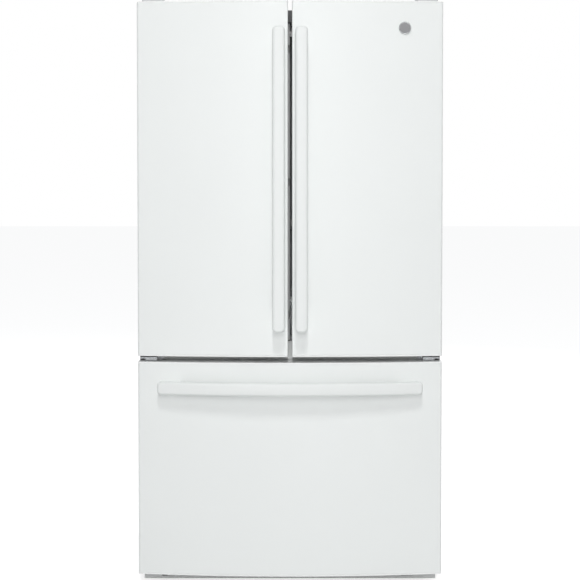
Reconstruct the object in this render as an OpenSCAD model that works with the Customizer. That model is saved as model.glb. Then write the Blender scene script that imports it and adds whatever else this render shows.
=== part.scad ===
// French door refrigerator with a bottom freezer drawer.
// Millimetres. +Z is up, the doors face -Y, and the origin is on the floor under the
// middle of the whole object. Every node is drawn closed, as the refrigerator stands.

/* [Overall] */
// Width over the doors
overall_w = 908; // [860:1:980]
// Height from the floor to the top of the hinge covers
overall_h = 1775; // [1720:1:1900]
// Depth of the cabinet without doors
cabinet_d = 746; // [720:1:800]

/* [Cabinet] */
// How far each cabinet side stands inside the edge of its door
cabinet_inset = 2; // [0:0.5:4]
// From the cabinet top up to the top of the hinge covers
cover_rise = 37; // [35:1:44]
// Steel sheet of the cabinet
case_t = 1.2; // [0.8:0.1:2]
// Insulated side wall of the fresh food compartment
side_wall = 52; // [46:1:64]
// Extra wall on each side of the freezer
freezer_wall_extra = 12; // [6:1:20]
// Insulated roof
top_wall = 34; // [30:1:44]
// Insulated back wall
back_wall = 66; // [56:1:80]
// Plastic sheet of the liners
liner_t = 2; // [1.5:0.25:3]
// Height of the divider between the two compartments
divider_h = 70; // [66:1:80]
// Underside of the insulated cabinet above the floor
case_z = 42; // [42:1:52]

/* [Doors] */
// Thickness of a door at its outer edge
door_edge_t = 87; // [80:1:90]
// How far the bowed front stands out in the middle
door_bulge = 36; // [24:1:44]
// Gap between the two doors
door_gap = 12; // [10:0.5:16]
// Gap between the doors and the freezer drawer
row_gap = 17.5; // [16:0.5:20]
// Height of the freezer drawer front
drawer_h = 638.5; // [600:0.5:680]
// Underside of the drawer front above the floor
drawer_z = 45; // [45:1:52]
// Door top below the top of the hinge covers
door_drop = 22; // [20:0.5:24]
// Round of the front corners
door_corner_r = 5; // [3:0.5:8]
// Steel skin of a door
skin_t = 1; // [0.8:0.1:1.5]
// Moulded cap that closes the top and bottom of a door
cap_t = 14; // [12:1:18]
// Thickness of the magnetic gasket
gasket_t = 14; // [12:0.5:16]
// Width of the gasket
gasket_w = 14; // [10:0.5:14]
// Depth of the raised dyke on a door liner
dyke_d = 38; // [30:1:44]

/* [Handles] */
// How far a handle stands out from the crown of the door
handle_out = 50; // [46:1:60]
// Width of a handle bar
handle_w = 37; // [26:1:38]
// Thickness of a handle bar
handle_t = 22; // [18:1:24]
// Length of a handle's foot, along the bar
handle_foot = 70; // [50:1:90]
// Length of a door handle
door_handle_l = 895; // [700:1:960]
// Middle of a door handle above the door's underside
door_handle_mid = 524; // [500:1:560]
// Middle of a door handle from the middle of the refrigerator
door_handle_x = 33.5; // [26:0.5:60]
// Length of the drawer handle
drawer_handle_l = 786; // [600:1:790]
// Middle of the drawer handle below the top of the drawer
drawer_handle_drop = 75; // [50:1:120]
// How far the drawer handle is bowed
drawer_handle_bow = 42; // [36:1:54]
// Radius of the round badge plate
badge_r = 18.5; // [10:0.5:24]
// Middle of the badge from the outer edge of the right door
badge_in = 115; // [60:1:200]
// Middle of the badge below the top of the door
badge_drop = 80; // [50:1:160]

/* [Hinges] */
// Hinge axis from the outer edge of the door
hinge_in = 24; // [23:0.5:26]
// Hinge axis in front of the door's back plane
hinge_fwd = 38; // [37:0.5:40]
// Radius of the hinge pins
pin_r = 5; // [4:0.25:5.5]
// Running clearance round a pin
pin_fit = 0.05; // [0.03:0.01:0.1]
// Thickness of the flip mullion
mullion_t = 24; // [20:1:26]

/* [Interior] */
// Depth of the glass shelves
shelf_d = 515; // [420:1:525]
// Glass thickness
glass_t = 4; // [3:0.5:5]
// Height of a crisper drawer
crisper_h = 190; // [160:1:200]
// Height of the wide drawer under the crispers
deli_h = 125; // [100:1:135]
// Depth of the drawers in the fresh food compartment
pan_d = 440; // [360:1:450]
// Depth of the upper door bins
bin_d = 105; // [90:1:108]
// Depth of the lowest door bins
low_bin_d = 80; // [60:1:82]
// Height of a door bin
bin_h = 110; // [80:1:120]
// Wall of the clear pans and bins
pan_t = 2.5; // [2:0.25:3.5]
// Radius of the water filter
filter_r = 24; // [20:1:26]

/* [Freezer] */
// Depth of the lower freezer basket
low_basket_d = 390; // [320:1:400]
// Depth of the upper freezer basket
top_basket_d = 340; // [280:1:345]
// Height of the upper freezer basket
top_basket_h = 118; // [90:1:122]
// Length of the drawer's slides
slide_l = 560; // [500:5:580]

/* [Running gear] */
// Radius of the rear rollers
roller_r = 18; // [14:0.5:18]
// Radius of a levelling foot
foot_r = 20; // [16:0.5:22]
// Radius of the condenser fan
condenser_fan_r = 62; // [50:1:66]
// Radius of the evaporator fan
evaporator_fan_r = 48; // [40:1:50]

/* [Hidden] */

fit = 0.3;            // gap between pieces that sit beside each other
fine = 64;            // fineness of round parts
half_w = overall_w / 2;
case_half = half_w - cabinet_inset;

// Planes from back to front
total_d = cabinet_d + gasket_t + door_edge_t + door_bulge + handle_out;
y_back = total_d / 2;
y_case = y_back - cabinet_d;
y_door = y_case - gasket_t;
y_edge = y_door - door_edge_t;
y_crown = y_edge - door_bulge;
y_handle = y_crown - handle_out;
front_r = (half_w * half_w + door_bulge * door_bulge) / (2 * door_bulge);
bow_y = y_crown + front_r;

// Levels from the floor up
drawer_top = drawer_z + drawer_h;
door_z = drawer_top + row_gap;
door_top = overall_h - door_drop;
door_h = door_top - door_z;
case_top = overall_h - cover_rise;
rail_mid = drawer_top + row_gap / 2;
ff_z = rail_mid + divider_h / 2 + 8;
fz_top = rail_mid - divider_h / 2 + 8;
ff_top = case_top - top_wall;
fz_z = case_z + 58;

// Compartments; the freezer floor steps up over the machine room at the back
flange_t = 1.5;
y_liner = y_case + flange_t;
panel_t = 2;
ff_half = case_half - side_wall;
fz_half = ff_half - freezer_wall_extra;
ff_back = y_back - back_wall;
fz_back = ff_back - 12;
step_y = y_back - 300;
step_z = case_z + 263;
room_y = step_y + 40;
room_z = step_z - 40;

// Hinge axis of the left door; the right door mirrors it
hinge_x = -half_w + hinge_in;
hinge_y = y_door - hinge_fwd;

module block(lo, hi) { translate(lo) cube(hi - lo); }
module rod_x(p, r, l, f = fine) { translate(p) rotate([0, 90, 0]) cylinder(r = r, h = l, $fn = f); }
module rod_y(p, r, l, f = fine) { translate(p) rotate([-90, 0, 0]) cylinder(r = r, h = l, $fn = f); }
module rod_z(p, r, l, f = fine) { translate(p) cylinder(r = r, h = l, $fn = f); }
module both() { children(); mirror([1, 0, 0]) children(); }

// A picture-frame ring in the XZ plane, w wide, from y0 to y1
module ring(x0, x1, z0, z1, w, y0, y1) {
    difference() {
        block([x0, y0, z0], [x1, y1, z1]);
        block([x0 + w, y0 - 1, z0 + w], [x1 - w, y1 + 1, z1 - w]);
    }
}

// An open-topped tub with walls t and a floor f
module tub(lo, hi, t, f = 3) {
    difference() {
        block(lo, hi);
        block(lo + [t, t, f], [hi.x - t, hi.y - t, hi.z + 1]);
    }
}

// A round pipe through a list of points, with ball corners
module pipe(points, r) {
    for (n = [0:len(points) - 2]) {
        d = points[n + 1] - points[n];
        translate(points[n]) rotate([0, acos(d.z / norm(d)), atan2(d.y, d.x)])
            cylinder(r = r, h = norm(d), $fn = 24);
        if (n > 0) translate(points[n]) sphere(r = r, $fn = 24);
    }
}

// ---------- bowed fronts ----------

hem_d = 10;           // the liner flange stands this far behind the steel skin
hem_in = 4;           // and this far in from its sides
sheet_t = 2.5;        // thermoformed door liner
y_hem = y_door - hem_d;

// What a round of radius r takes off the front corner at side_x; dir points into the door
module corner_waste(side_x, dir, r, big_r) {
    c = [side_x + dir * r, bow_y - sqrt(pow(big_r - r, 2) - pow(side_x + dir * r, 2))];
    out = (c - [0, bow_y]) / norm(c - [0, bow_y]);
    difference() {
        polygon([c, c + [-dir * 2 * r, 0], c + [-dir * 2 * r, -2 * r], c + 2 * r * out]);
        translate(c) circle(r = r, $fn = fine);
    }
}

// Plan of a bowed front between x0 and x1, forward of the plane back, shrunk all round
module bowed_plan(x0, x1, back, shrink = 0) {
    a = x0 + shrink;
    b = x1 - shrink;
    big_r = front_r - shrink;
    front = y_crown - 1;
    difference() {
        intersection() {
            translate([0, bow_y]) circle(r = big_r, $fn = 360);
            translate([a, front]) square([b - a, back - front]);
        }
        corner_waste(a, 1, door_corner_r - shrink, big_r);
        corner_waste(b, -1, door_corner_r - shrink, big_r);
    }
}

// Steel skin of a front, folded round its sides
module front_skin(x0, x1, z0, h) {
    translate([0, 0, z0]) linear_extrude(height = h) difference() {
        bowed_plan(x0, x1, y_hem);
        bowed_plan(x0, x1, y_hem + 1, skin_t);
    }
}

// Moulded cap at one end of a front
module front_cap(x0, x1, z0) {
    translate([0, 0, z0]) linear_extrude(height = cap_t) bowed_plan(x0, x1, y_hem, skin_t);
}

// Foam inside a front, from cap to cap and back into the liner
module front_foam(x0, x1, z0, h) {
    side = hem_in + sheet_t;
    translate([0, 0, z0 + cap_t]) linear_extrude(height = h - 2 * cap_t)
        bowed_plan(x0, x1, y_hem, skin_t);
    block([x0 + side, y_hem - 1, z0 + cap_t], [x1 - side, y_door - sheet_t, z0 + h - cap_t]);
}

// Back of a front: a shallow plastic tray, open towards the foam
module liner_tray(x0, x1, z0, h) {
    side = hem_in + sheet_t;
    difference() {
        block([x0 + hem_in, y_hem, z0 + hem_in], [x1 - hem_in, y_door, z0 + h - hem_in]);
        block([x0 + side, y_hem - 1, z0 + cap_t], [x1 - side, y_door - sheet_t, z0 + h - cap_t]);
    }
}

// ---------- left door; the right door is its mirror image ----------

door_x0 = -half_w;
door_x1 = -door_gap / 2;
dyke_x0 = -ff_half + 10;
dyke_x1 = door_x1 - 44;
dyke_z0 = ff_z + 14;
dyke_z1 = ff_top - 14;
dyke_w = 26;
gasket_x1 = door_x1 - hem_in - 2;
gasket_z0 = rail_mid + 14;
gasket_z1 = ff_top + gasket_w;
bore_depth = 24;
boss_r = 12;

// Steel skin and its two caps, with the blind bores that run on the hinge pins
module door_panel() color("whitesmoke") {
    front_skin(door_x0, door_x1, door_z, door_h);
    difference() {
        union() {
            front_cap(door_x0, door_x1, door_top - cap_t);
            rod_z([hinge_x, hinge_y, door_top - bore_depth - 6], boss_r, bore_depth);
        }
        rod_z([hinge_x, hinge_y, door_top - bore_depth], pin_r + pin_fit, bore_depth + 1);
    }
    difference() {
        union() {
            front_cap(door_x0, door_x1, door_z);
            rod_z([hinge_x, hinge_y, door_z + 6], boss_r, bore_depth);
        }
        rod_z([hinge_x, hinge_y, door_z - 1], pin_r + pin_fit, bore_depth + 1);
    }
}

module dyke_ring(inset, y0, y1) {
    ring(dyke_x0 + inset, dyke_x1 - inset, dyke_z0 + inset, dyke_z1 - inset, dyke_w - 2 * inset, y0, y1);
}

module door_foam() color("khaki") {
    difference() {
        front_foam(door_x0, door_x1, door_z, door_h);
        rod_z([hinge_x, hinge_y, door_top - bore_depth - 6 - fit], boss_r + fit, bore_depth);
        rod_z([hinge_x, hinge_y, door_z + cap_t - 1], boss_r + fit, bore_depth - cap_t + 7 + fit);
    }
    dyke_ring(sheet_t, y_door - sheet_t, y_door + dyke_d - sheet_t);
}

// The tray with its raised dyke; the lowest bin stands on the dyke, the rest on lugs
module door_liner(levels) color("white") {
    difference() {
        union() {
            liner_tray(door_x0, door_x1, door_z, door_h);
            dyke_ring(0, y_door - 1, y_door + dyke_d);
        }
        dyke_ring(sheet_t, y_door - sheet_t - 1, y_door + dyke_d - sheet_t);
    }
    for (n = [1:3])
        for (x = [dyke_x0 + dyke_w, dyke_x1 - dyke_w - 9])
            block([x, y_door, levels[n] - 10], [x + 9, y_door + dyke_d - 6, levels[n]]);
}

module door_gasket() color("gainsboro") {
    ring(hinge_x, gasket_x1, gasket_z0, gasket_z1, gasket_w, y_door, y_case - fit);
}

crisper_z = ff_z + deli_h + 30;
cover_z = crisper_z + crisper_h + 8;
bin_x0 = dyke_x0 + dyke_w + fit;
bin_x1 = dyke_x1 - dyke_w - fit;
bin_top = dyke_z1 - dyke_w;          // the bins and the raised lid stay under this
first_bin = cover_z + 16;
bin_pitch = min(200, (bin_top - 45 - bin_h - first_bin) / 2);
bin_levels = [dyke_z0 + dyke_w + fit, first_bin, first_bin + bin_pitch, first_bin + 2 * bin_pitch];
dairy_h = 96;
lid_rise = 7;                        // of the lid's axis over the dairy bin
lid_in = 12;                         // of the lid's axis behind the door liner
lid_front = 3;                       // of the lid's front behind the front of a bin
dairy_z = bin_top - 20.75 - (bin_d - lid_in - lid_front) - lid_rise - dairy_h;
second_bin = dairy_z - 52 - bin_h;
right_levels = [bin_levels[0], min(first_bin, second_bin - bin_h - 20), second_bin, dairy_z];

// A clear bin that hangs between the sides of the dyke
module door_bin(z, d, h) {
    tub([bin_x0, y_door + fit, z], [bin_x1, y_door + d, z + h], pan_t);
}

module left_bins() color("azure", 0.6) {
    door_bin(bin_levels[0], low_bin_d, bin_h);
    for (n = [1:3]) door_bin(bin_levels[n], bin_d, bin_h);
}

lid_ear = 3;
lid_pin_r = 2.5;
lid_y = y_door + lid_in;
lid_z = dairy_z + dairy_h + lid_rise;

// The top bin of this door is closed by the dairy lid, which turns between two ears
module right_bins() color("azure", 0.6) {
    door_bin(right_levels[0], low_bin_d, bin_h);
    for (n = [1, 2]) door_bin(right_levels[n], bin_d, bin_h);
    difference() {
        union() {
            door_bin(dairy_z, bin_d - 6, dairy_h);
            for (x = [bin_x0, bin_x1 - lid_ear])
                block([x, y_door + fit, dairy_z + 1], [x + lid_ear, y_door + 26, lid_z + 8]);
        }
        rod_x([bin_x0 - 1, lid_y, lid_z], lid_pin_r + pin_fit, bin_x1 - bin_x0 + 2);
    }
}

// Lid with a barrel along its back edge, a pin at each end and a turned-down front
module lid() color("azure", 0.6) {
    x0 = bin_x0 + lid_ear + fit;
    x1 = bin_x1 - lid_ear - fit;
    y1 = y_door + bin_d - lid_front;
    block([x0, lid_y, lid_z + 2], [x1, y1, lid_z + 5]);
    block([x0, y1 - 3, lid_z - 50], [x1, y1, lid_z + 2]);
    rod_x([x0, lid_y, lid_z], 5, x1 - x0);
    rod_x([x0 - lid_ear, lid_y, lid_z], lid_pin_r, x1 - x0 + 2 * lid_ear);
}

// Vertical bar handle with a foot at each end, shaped to the bow of the door
module door_handle() color("white") {
    r = handle_w / 2;
    z0 = door_z + door_handle_mid - door_handle_l / 2;
    z1 = z0 + door_handle_l;
    translate([-door_handle_x, y_handle + handle_t, 0]) rotate([90, 0, 0])
        linear_extrude(height = handle_t) {
            translate([-r, z0 + r]) square([handle_w, door_handle_l - handle_w]);
            for (z = [z0 + r, z1 - r]) translate([0, z]) circle(r = r, $fn = fine);
        }
    for (z = [z0 + 4, z1 - 4 - handle_foot])
        translate([0, 0, z]) linear_extrude(height = handle_foot) difference() {
            translate([-door_handle_x - r + 4, y_handle + handle_t]) square([handle_w - 8, handle_out]);
            translate([0, bow_y]) circle(r = front_r, $fn = 360);
        }
}

// ---------- flip mullion, drawn folded back as it travels with the left door ----------

fold_angle = 102;     // from folded back to flat behind both doors
fold_clear = 0.5;     // between the folded mullion and the right door as it swings past
sweep_r = door_gap / 2 - hinge_x - fold_clear;
nose_r = mullion_t / 2;
fold_y = y_case + nose_r;
fold_x = hinge_x + sqrt(pow(sweep_r - nose_r, 2) - pow(fold_y - hinge_y, 2));
fold_reach = 44;      // from the fold axis to the far edge
fold_pin_r = 3;
knuckle_h = 22;
mullion_z0 = ff_z + 4;
mullion_z1 = ff_top - 4;
mullion_l = mullion_z1 - mullion_z0;
knuckles = [for (s = [0.08, 0.5, 0.92]) mullion_z0 + s * mullion_l - knuckle_h / 2];

// A rounded bar with a steel face; each knuckle sits in a notch of the bar
module flip_mullion() color("lightgray") translate([fold_x, fold_y, 0]) rotate([0, 0, fold_angle]) {
    difference() {
        union() {
            rod_z([0, 0, mullion_z0], nose_r, mullion_l);
            block([0, -nose_r + 1, mullion_z0], [fold_reach, nose_r, mullion_z1]);
        }
        rod_z([0, 0, mullion_z0 - 1], fold_pin_r + pin_fit, mullion_l + 2);
        for (z = knuckles)
            block([-nose_r - 1, -nose_r - 1, z - 1], [nose_r + 2, nose_r + 1, z + knuckle_h + 1]);
    }
    block([3, -nose_r, mullion_z0 + 4], [fold_reach - 1, -nose_r + 1, mullion_z1 - 4]);
}

// Three brackets on the side of the left dyke, each with a pin into the bar above and below
module mullion_hinges() color("dimgray")
    for (z = knuckles) {
        block([dyke_x1, fold_y - 4, z], [fold_x, fold_y + 4, z + knuckle_h]);
        rod_z([fold_x, fold_y, z], 8, knuckle_h);
        rod_z([fold_x, fold_y, z - 12], fold_pin_r, knuckle_h + 24);
    }

guide_h = 18;
guide_half = 30;

// Guide over the mullion on the front of the cabinet, with a tongue down between the gaskets
module mullion_guide() color("dimgray") {
    z0 = gasket_z1 + 2;
    block([-guide_half, y_door + fit, z0], [guide_half, y_case, min(z0 + guide_h, case_top)]);
    block([gasket_x1 + 3, y_door + fit, mullion_z1 + 2], [-gasket_x1 - 3, y_case, z0]);
}

// Plain round plate where the right door bears a mark
module badge_disc() color("silver")
    translate([0, bow_y, door_top - badge_drop]) rotate([0, 0, asin((half_w - badge_in) / front_r)])
        translate([0, -front_r, 0]) rotate([90, 0, 0]) {
            cylinder(r = badge_r, h = 1.2, $fn = fine);
            difference() {
                cylinder(r = badge_r, h = 2, $fn = fine);
                translate([0, 0, -1]) cylinder(r = badge_r - 2, h = 4, $fn = fine);
            }
        }

// ---------- freezer drawer ----------

pull_dyke_half = fz_half - 36;
pull_z0 = fz_z + 12;
pull_z1 = fz_top - 12;

module drawer_panel() color("whitesmoke") {
    front_skin(-half_w, half_w, drawer_z, drawer_h);
    front_cap(-half_w, half_w, drawer_z);
    front_cap(-half_w, half_w, drawer_top - cap_t);
}

module pull_ring(inset, y0, y1) {
    ring(-pull_dyke_half + inset, pull_dyke_half - inset, pull_z0 + inset, pull_z1 - inset,
         dyke_w - 2 * inset, y0, y1);
}

module drawer_foam() color("khaki") {
    front_foam(-half_w, half_w, drawer_z, drawer_h);
    pull_ring(sheet_t, y_door - sheet_t, y_door + dyke_d - sheet_t);
}

module drawer_liner() color("white") difference() {
    union() {
        liner_tray(-half_w, half_w, drawer_z, drawer_h);
        pull_ring(0, y_door - 1, y_door + dyke_d);
    }
    pull_ring(sheet_t, y_door - sheet_t - 1, y_door + dyke_d - sheet_t);
}

module drawer_gasket() color("gainsboro") {
    ring(-fz_half - gasket_w - 2, fz_half + gasket_w + 2, fz_z - gasket_w - 2, rail_mid - 14, gasket_w,
         y_door, y_case - fit);
}

pull_r = (pow(drawer_handle_l / 2, 2) + pow(drawer_handle_bow, 2)) / (2 * drawer_handle_bow);

// Bowed bar whose feet fill the space to the front of the drawer
module drawer_handle() color("white") {
    half_l = drawer_handle_l / 2;
    back = y_crown + door_bulge;
    translate([0, 0, drawer_top - drawer_handle_drop - handle_w / 2]) linear_extrude(height = handle_w)
        difference() {
            intersection() {
                translate([0, y_handle + pull_r]) circle(r = pull_r, $fn = 360);
                translate([-half_l, y_handle - 1]) square([2 * half_l, back - y_handle]);
            }
            intersection() {
                translate([0, y_handle + pull_r]) circle(r = pull_r - handle_t, $fn = 360);
                translate([-half_l + handle_foot, y_handle - 1])
                    square([2 * (half_l - handle_foot), back - y_handle + 2]);
            }
            translate([0, bow_y]) circle(r = front_r, $fn = 360);
        }
}

// ---------- drawer slides and freezer baskets ----------

slide_z = step_z + 25;
slide_h = 46;
slide_y = y_case + 5.5;
slide_web = 2;
slide_w = 10;

// Fixed members of the slides, open towards the middle
module fixed_rails() color("silver") both() difference() {
    block([fz_half - slide_w, slide_y, slide_z], [fz_half, slide_y + slide_l, slide_z + slide_h]);
    block([fz_half - slide_w - 1, slide_y - 1, slide_z + slide_web],
          [fz_half - slide_web, slide_y + slide_l + 1, slide_z + slide_h - slide_web]);
}

mid_x = fz_half - slide_web - fit;
mid_z = slide_z + slide_web + fit;
mid_h = slide_h - 2 * (slide_web + fit);

module middle_rails() color("silver") {
    both() difference() {
        block([mid_x - slide_w + 3, slide_y, mid_z], [mid_x, slide_y + slide_l, mid_z + mid_h]);
        block([mid_x - slide_w, slide_y - 1, mid_z + slide_web],
              [mid_x - slide_web, slide_y + slide_l + 1, mid_z + mid_h - slide_web]);
    }
}

arm_x = fz_half - 26;
bar_x = mid_x - slide_web - fit;
bar_z = mid_z + slide_web + fit;
bar_h = mid_h - 2 * (slide_web + fit);
arm_y1 = slide_y + slide_l;
runner_z = bar_z + bar_h + 62;

// Steel frame on the back of the drawer: slide bars, arms, uprights and runners
module drawer_frame() color("white") {
    both() {
        block([arm_x + 8, slide_y, bar_z], [bar_x, arm_y1, bar_z + bar_h]);
        block([arm_x, y_door, bar_z + 4], [arm_x + 8, arm_y1, bar_z + bar_h]);
        for (y = [y_door, arm_y1 - 12])
            block([arm_x, y, bar_z + bar_h], [arm_x + 8, y + 12, runner_z]);
        block([arm_x, y_door, runner_z], [arm_x + 8, arm_y1, runner_z + 6]);
    }
    block([-arm_x, arm_y1 - 12, bar_z + 6], [arm_x, arm_y1, bar_z + 16]);
}

basket_half = arm_x - 4;
low_y0 = y_door + dyke_d + 6;

// Deep lower basket whose rim rests on the arms of the frame
module lower_basket() color("azure", 0.6) {
    rim_z = bar_z + bar_h;
    tub([-basket_half, low_y0, fz_z + 12], [basket_half, low_y0 + low_basket_d, rim_z + 3], pan_t);
    both() block([basket_half - 1, low_y0, rim_z], [arm_x + 7, low_y0 + low_basket_d, rim_z + 3]);
}

top_y0 = low_y0 + 14;
top_z = runner_z + 6 + fit;

// Shallow upper basket on the runners, with the ice bucket standing in it
module upper_basket() color("azure", 0.6) {
    y1 = top_y0 + top_basket_d;
    tub([-arm_x - 6, top_y0, top_z], [arm_x + 6, y1, top_z + top_basket_h], pan_t);
    tub([-arm_x + 6, top_y0 + 8, top_z + 3], [-arm_x + 236, y1 - 8, top_z + top_basket_h - 6], pan_t);
}

// ---------- cabinet ----------

// Painted sheet: top and sides, with the front edge turned in to the two openings
module case_wrapper() color("whitesmoke") {
    difference() {
        block([-case_half, y_case, case_z], [case_half, y_back - panel_t, case_top]);
        block([-case_half + case_t, y_liner, case_z - 1], [case_half - case_t, y_back, case_top - case_t]);
        block([-ff_half, y_case - 1, ff_z], [ff_half, y_liner + 1, ff_top]);
        block([-fz_half, y_case - 1, fz_z], [fz_half, y_liner + 1, ff_z + 1]);
    }
}

module center_rail() color("whitesmoke")
    block([-fz_half, y_case, fz_top], [fz_half, y_liner, ff_z]);

cover_y = y_back - 6;

// Back sheet, the folded ceiling of the machine room and its slotted cover
module rear_panels() color("gainsboro") {
    block([-case_half, y_back - panel_t, room_z], [case_half, y_back, case_top]);
    difference() {
        block([-case_half + case_t, room_y, case_z], [case_half - case_t, y_back - panel_t, room_z]);
        block([-case_half, room_y + case_t, case_z - 1], [case_half, y_back, room_z - case_t]);
    }
    difference() {
        block([-case_half + case_t, cover_y, case_z],
              [case_half - case_t, cover_y + panel_t, room_z - case_t]);
        for (x = [-380:25:310])
            block([x, cover_y - 1, case_z + 60], [x + 12, cover_y + 3, room_z - 50]);
        inlet_hole();
    }
}

module freezer_plan(g) {
    polygon([[y_liner - 1, fz_z - g], [step_y + g, fz_z - g], [step_y + g, step_z - g],
             [fz_back + g, step_z - g], [fz_back + g, fz_top + g], [y_liner - 1, fz_top + g]]);
}

// The freezer cavity, grown by g all round
module freezer_space(g) {
    half = fz_half + g;
    translate([-half, 0, 0]) rotate([90, 0, 90]) linear_extrude(height = 2 * half) freezer_plan(g);
}

module fresh_food_space(g) {
    block([-ff_half - g, y_liner - 1, ff_z - g], [ff_half + g, ff_back + g, ff_top + g]);
}

module cabinet_foam() color("khaki") difference() {
    block([-case_half + case_t, y_liner, case_z], [case_half - case_t, y_back - panel_t, case_top - case_t]);
    fresh_food_space(liner_t);
    freezer_space(liner_t);
    block([-case_half, room_y, case_z - 1], [case_half, y_back, room_z]);
}

module fresh_food_liner() color("white") difference() {
    fresh_food_space(liner_t);
    fresh_food_space(0);
    block([-half_w, y_liner - 2, 0], [half_w, y_liner, case_top]);
}

module freezer_liner() color("white") difference() {
    freezer_space(liner_t);
    freezer_space(0);
    block([-half_w, y_liner - 2, 0], [half_w, y_liner, case_top]);
}

// ---------- base, feet and rollers ----------

base_t = 2;
foot_x = case_half - 52;
foot_y = y_case + 54;
roller_y = y_back - 52;
side_gap = 22;        // from the middle of a foot to the side rails
rail_low = 16;
stem_r = 5;
base_y0 = y_case + 18;
base_y1 = y_back - 8;

// Base plate with side rails, foot sockets, roller axles and the front grille
module base_frame() color("dimgray") {
    difference() {
        union() {
            block([-case_half + 4, base_y0, case_z - base_t], [case_half - 4, base_y1, case_z]);
            both() {
                for (x = [foot_x - side_gap - 3, foot_x + side_gap])
                    block([x, base_y0, rail_low], [x + 3, base_y1, case_z - 1]);
                rod_z([foot_x, foot_y, 20], 11, case_z - base_t - 19);
                rod_x([foot_x - side_gap - 1, roller_y, roller_r], 4, 2 * side_gap + 2);
                for (x = [foot_x - side_gap - 3, foot_x + side_gap])
                    rod_x([x, roller_y, roller_r], 8, 3);
            }
            block([-foot_x + side_gap, base_y0, 22], [foot_x - side_gap, base_y0 + 3, case_z - 1]);
        }
        both() rod_z([foot_x, foot_y, 10], stem_r + 0.1, case_z - base_t - 10);
    }
    difference() {
        union() {
            block([-case_half + 6, y_case + 2, 6], [case_half - 6, y_case + 8, case_z - 4]);
            for (x = [-300, 0, 300])
                block([x - 10, y_case + 8, 26], [x + 10, base_y0, 34]);
        }
        for (x = [-case_half + 60:56:case_half - 90])
            for (z = [14, 24])
                block([x, y_case + 1, z], [x + 40, y_case + 9, z + 4]);
    }
}

// Disc foot with a hexagon to turn it by and a threaded stem
module foot() color("dimgray") translate([foot_x, foot_y, 0]) {
    cylinder(r = foot_r, h = 6, $fn = fine);
    cylinder(r = 9, h = 15, $fn = 6);
    cylinder(r = stem_r, h = case_z - base_t - 4, $fn = fine);
}

module rear_rollers() color("black") both() difference() {
    rod_x([foot_x - 12, roller_y, roller_r], roller_r, 24);
    rod_x([foot_x - 13, roller_y, roller_r], 4 + pin_fit, 26);
}

// ---------- hinges ----------

plate_t = 3;
hinge_x0 = hinge_x - 8;
hinge_x1 = hinge_x + 44;
cover_top_z = overall_h;
step_up_z = door_top + 1;
screw_r = 3;

// Top bracket stepping up from the cabinet over the door, with its pin down into the door
module top_hinge() {
    difference() {
        union() {
            block([hinge_x0, y_case - 3.5, case_top], [hinge_x1, y_case + 80, case_top + plate_t]);
            block([hinge_x0, y_case - 3.5, case_top], [hinge_x1, y_case - 0.5, step_up_z + plate_t]);
            block([hinge_x0, hinge_y - 12, step_up_z], [hinge_x1, y_case - 0.5, step_up_z + plate_t]);
        }
        for (p = hinge_screws) rod_z([p.x, p.y, case_top - 1], screw_r + 0.1, plate_t + 2);
    }
    rod_z([hinge_x, hinge_y, door_top - bore_depth + 1], pin_r, bore_depth + 2);
}

hinge_screws = [for (x = [hinge_x + 2, hinge_x + 34]) for (y = [y_case + 22, y_case + 64]) [x, y]];

mid_plate_z = drawer_top + 6;
mid_plate_t = 4;
mid_plate_x0 = hinge_x - 20;
mid_plate_x1 = hinge_x + 30;
mid_x1 = -fz_half + 2;               // the middle bracket laps 2 mm over the centre rail
mid_low_z = drawer_top + 1.5;        // nothing of the bracket reaches below this over the drawer

// Middle bracket on the centre rail: a tongue with a lip along its front, a nylon block round its
// outer end, and the pin up into the bottom of the door
module mid_hinge() {
    tongue_y = hinge_y - 12;
    difference() {
        block([hinge_x0, y_case - 3.5, drawer_top - 3], [mid_x1, y_case, gasket_z0 - 2]);
        for (x = [hinge_x + 4, hinge_x + 32])
            rod_y([x, y_case - 5, mid_plate_z - 4], screw_r - 0.4, 6);
    }
    block([mid_plate_x0, tongue_y, mid_plate_z], [mid_plate_x1, y_case - 3.4, mid_plate_z + mid_plate_t]);
    block([hinge_x - 4, tongue_y, mid_low_z], [mid_plate_x1, tongue_y + 3, mid_plate_z + 1]);
    block([mid_plate_x0 - 1, tongue_y + 3.5, mid_low_z], [mid_plate_x0 + 11, hinge_y + 14, door_z - fit]);
    rod_z([hinge_x, hinge_y, mid_plate_z + 1], pin_r + 3, door_z - mid_plate_z - 1 - fit);
    rod_z([hinge_x, hinge_y, mid_plate_z + 1], pin_r, door_z + bore_depth - mid_plate_z - 2);
}

module door_hinges() color("silver") both() { top_hinge(); mid_hinge(); }

// Hollow plastic covers over the top brackets
module hinge_covers() color("gainsboro") both() {
    x0 = hinge_x0 - 3;
    x1 = hinge_x1 + 7;
    difference() {
        union() {
            block([x0, y_case - 7, case_top], [x1, y_case + 90, cover_top_z]);
            block([x0, hinge_y - 17, step_up_z + fit], [x1, y_case + 90, cover_top_z]);
        }
        block([x0 + 2.5, y_case - 4.5, case_top - 1], [x1 - 2.5, y_case + 87.5, cover_top_z - 2.5]);
        block([x0 + 2.5, hinge_y - 14.5, step_up_z - 1], [x1 - 2.5, y_case + 87.5, cover_top_z - 2.5]);
    }
}

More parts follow.
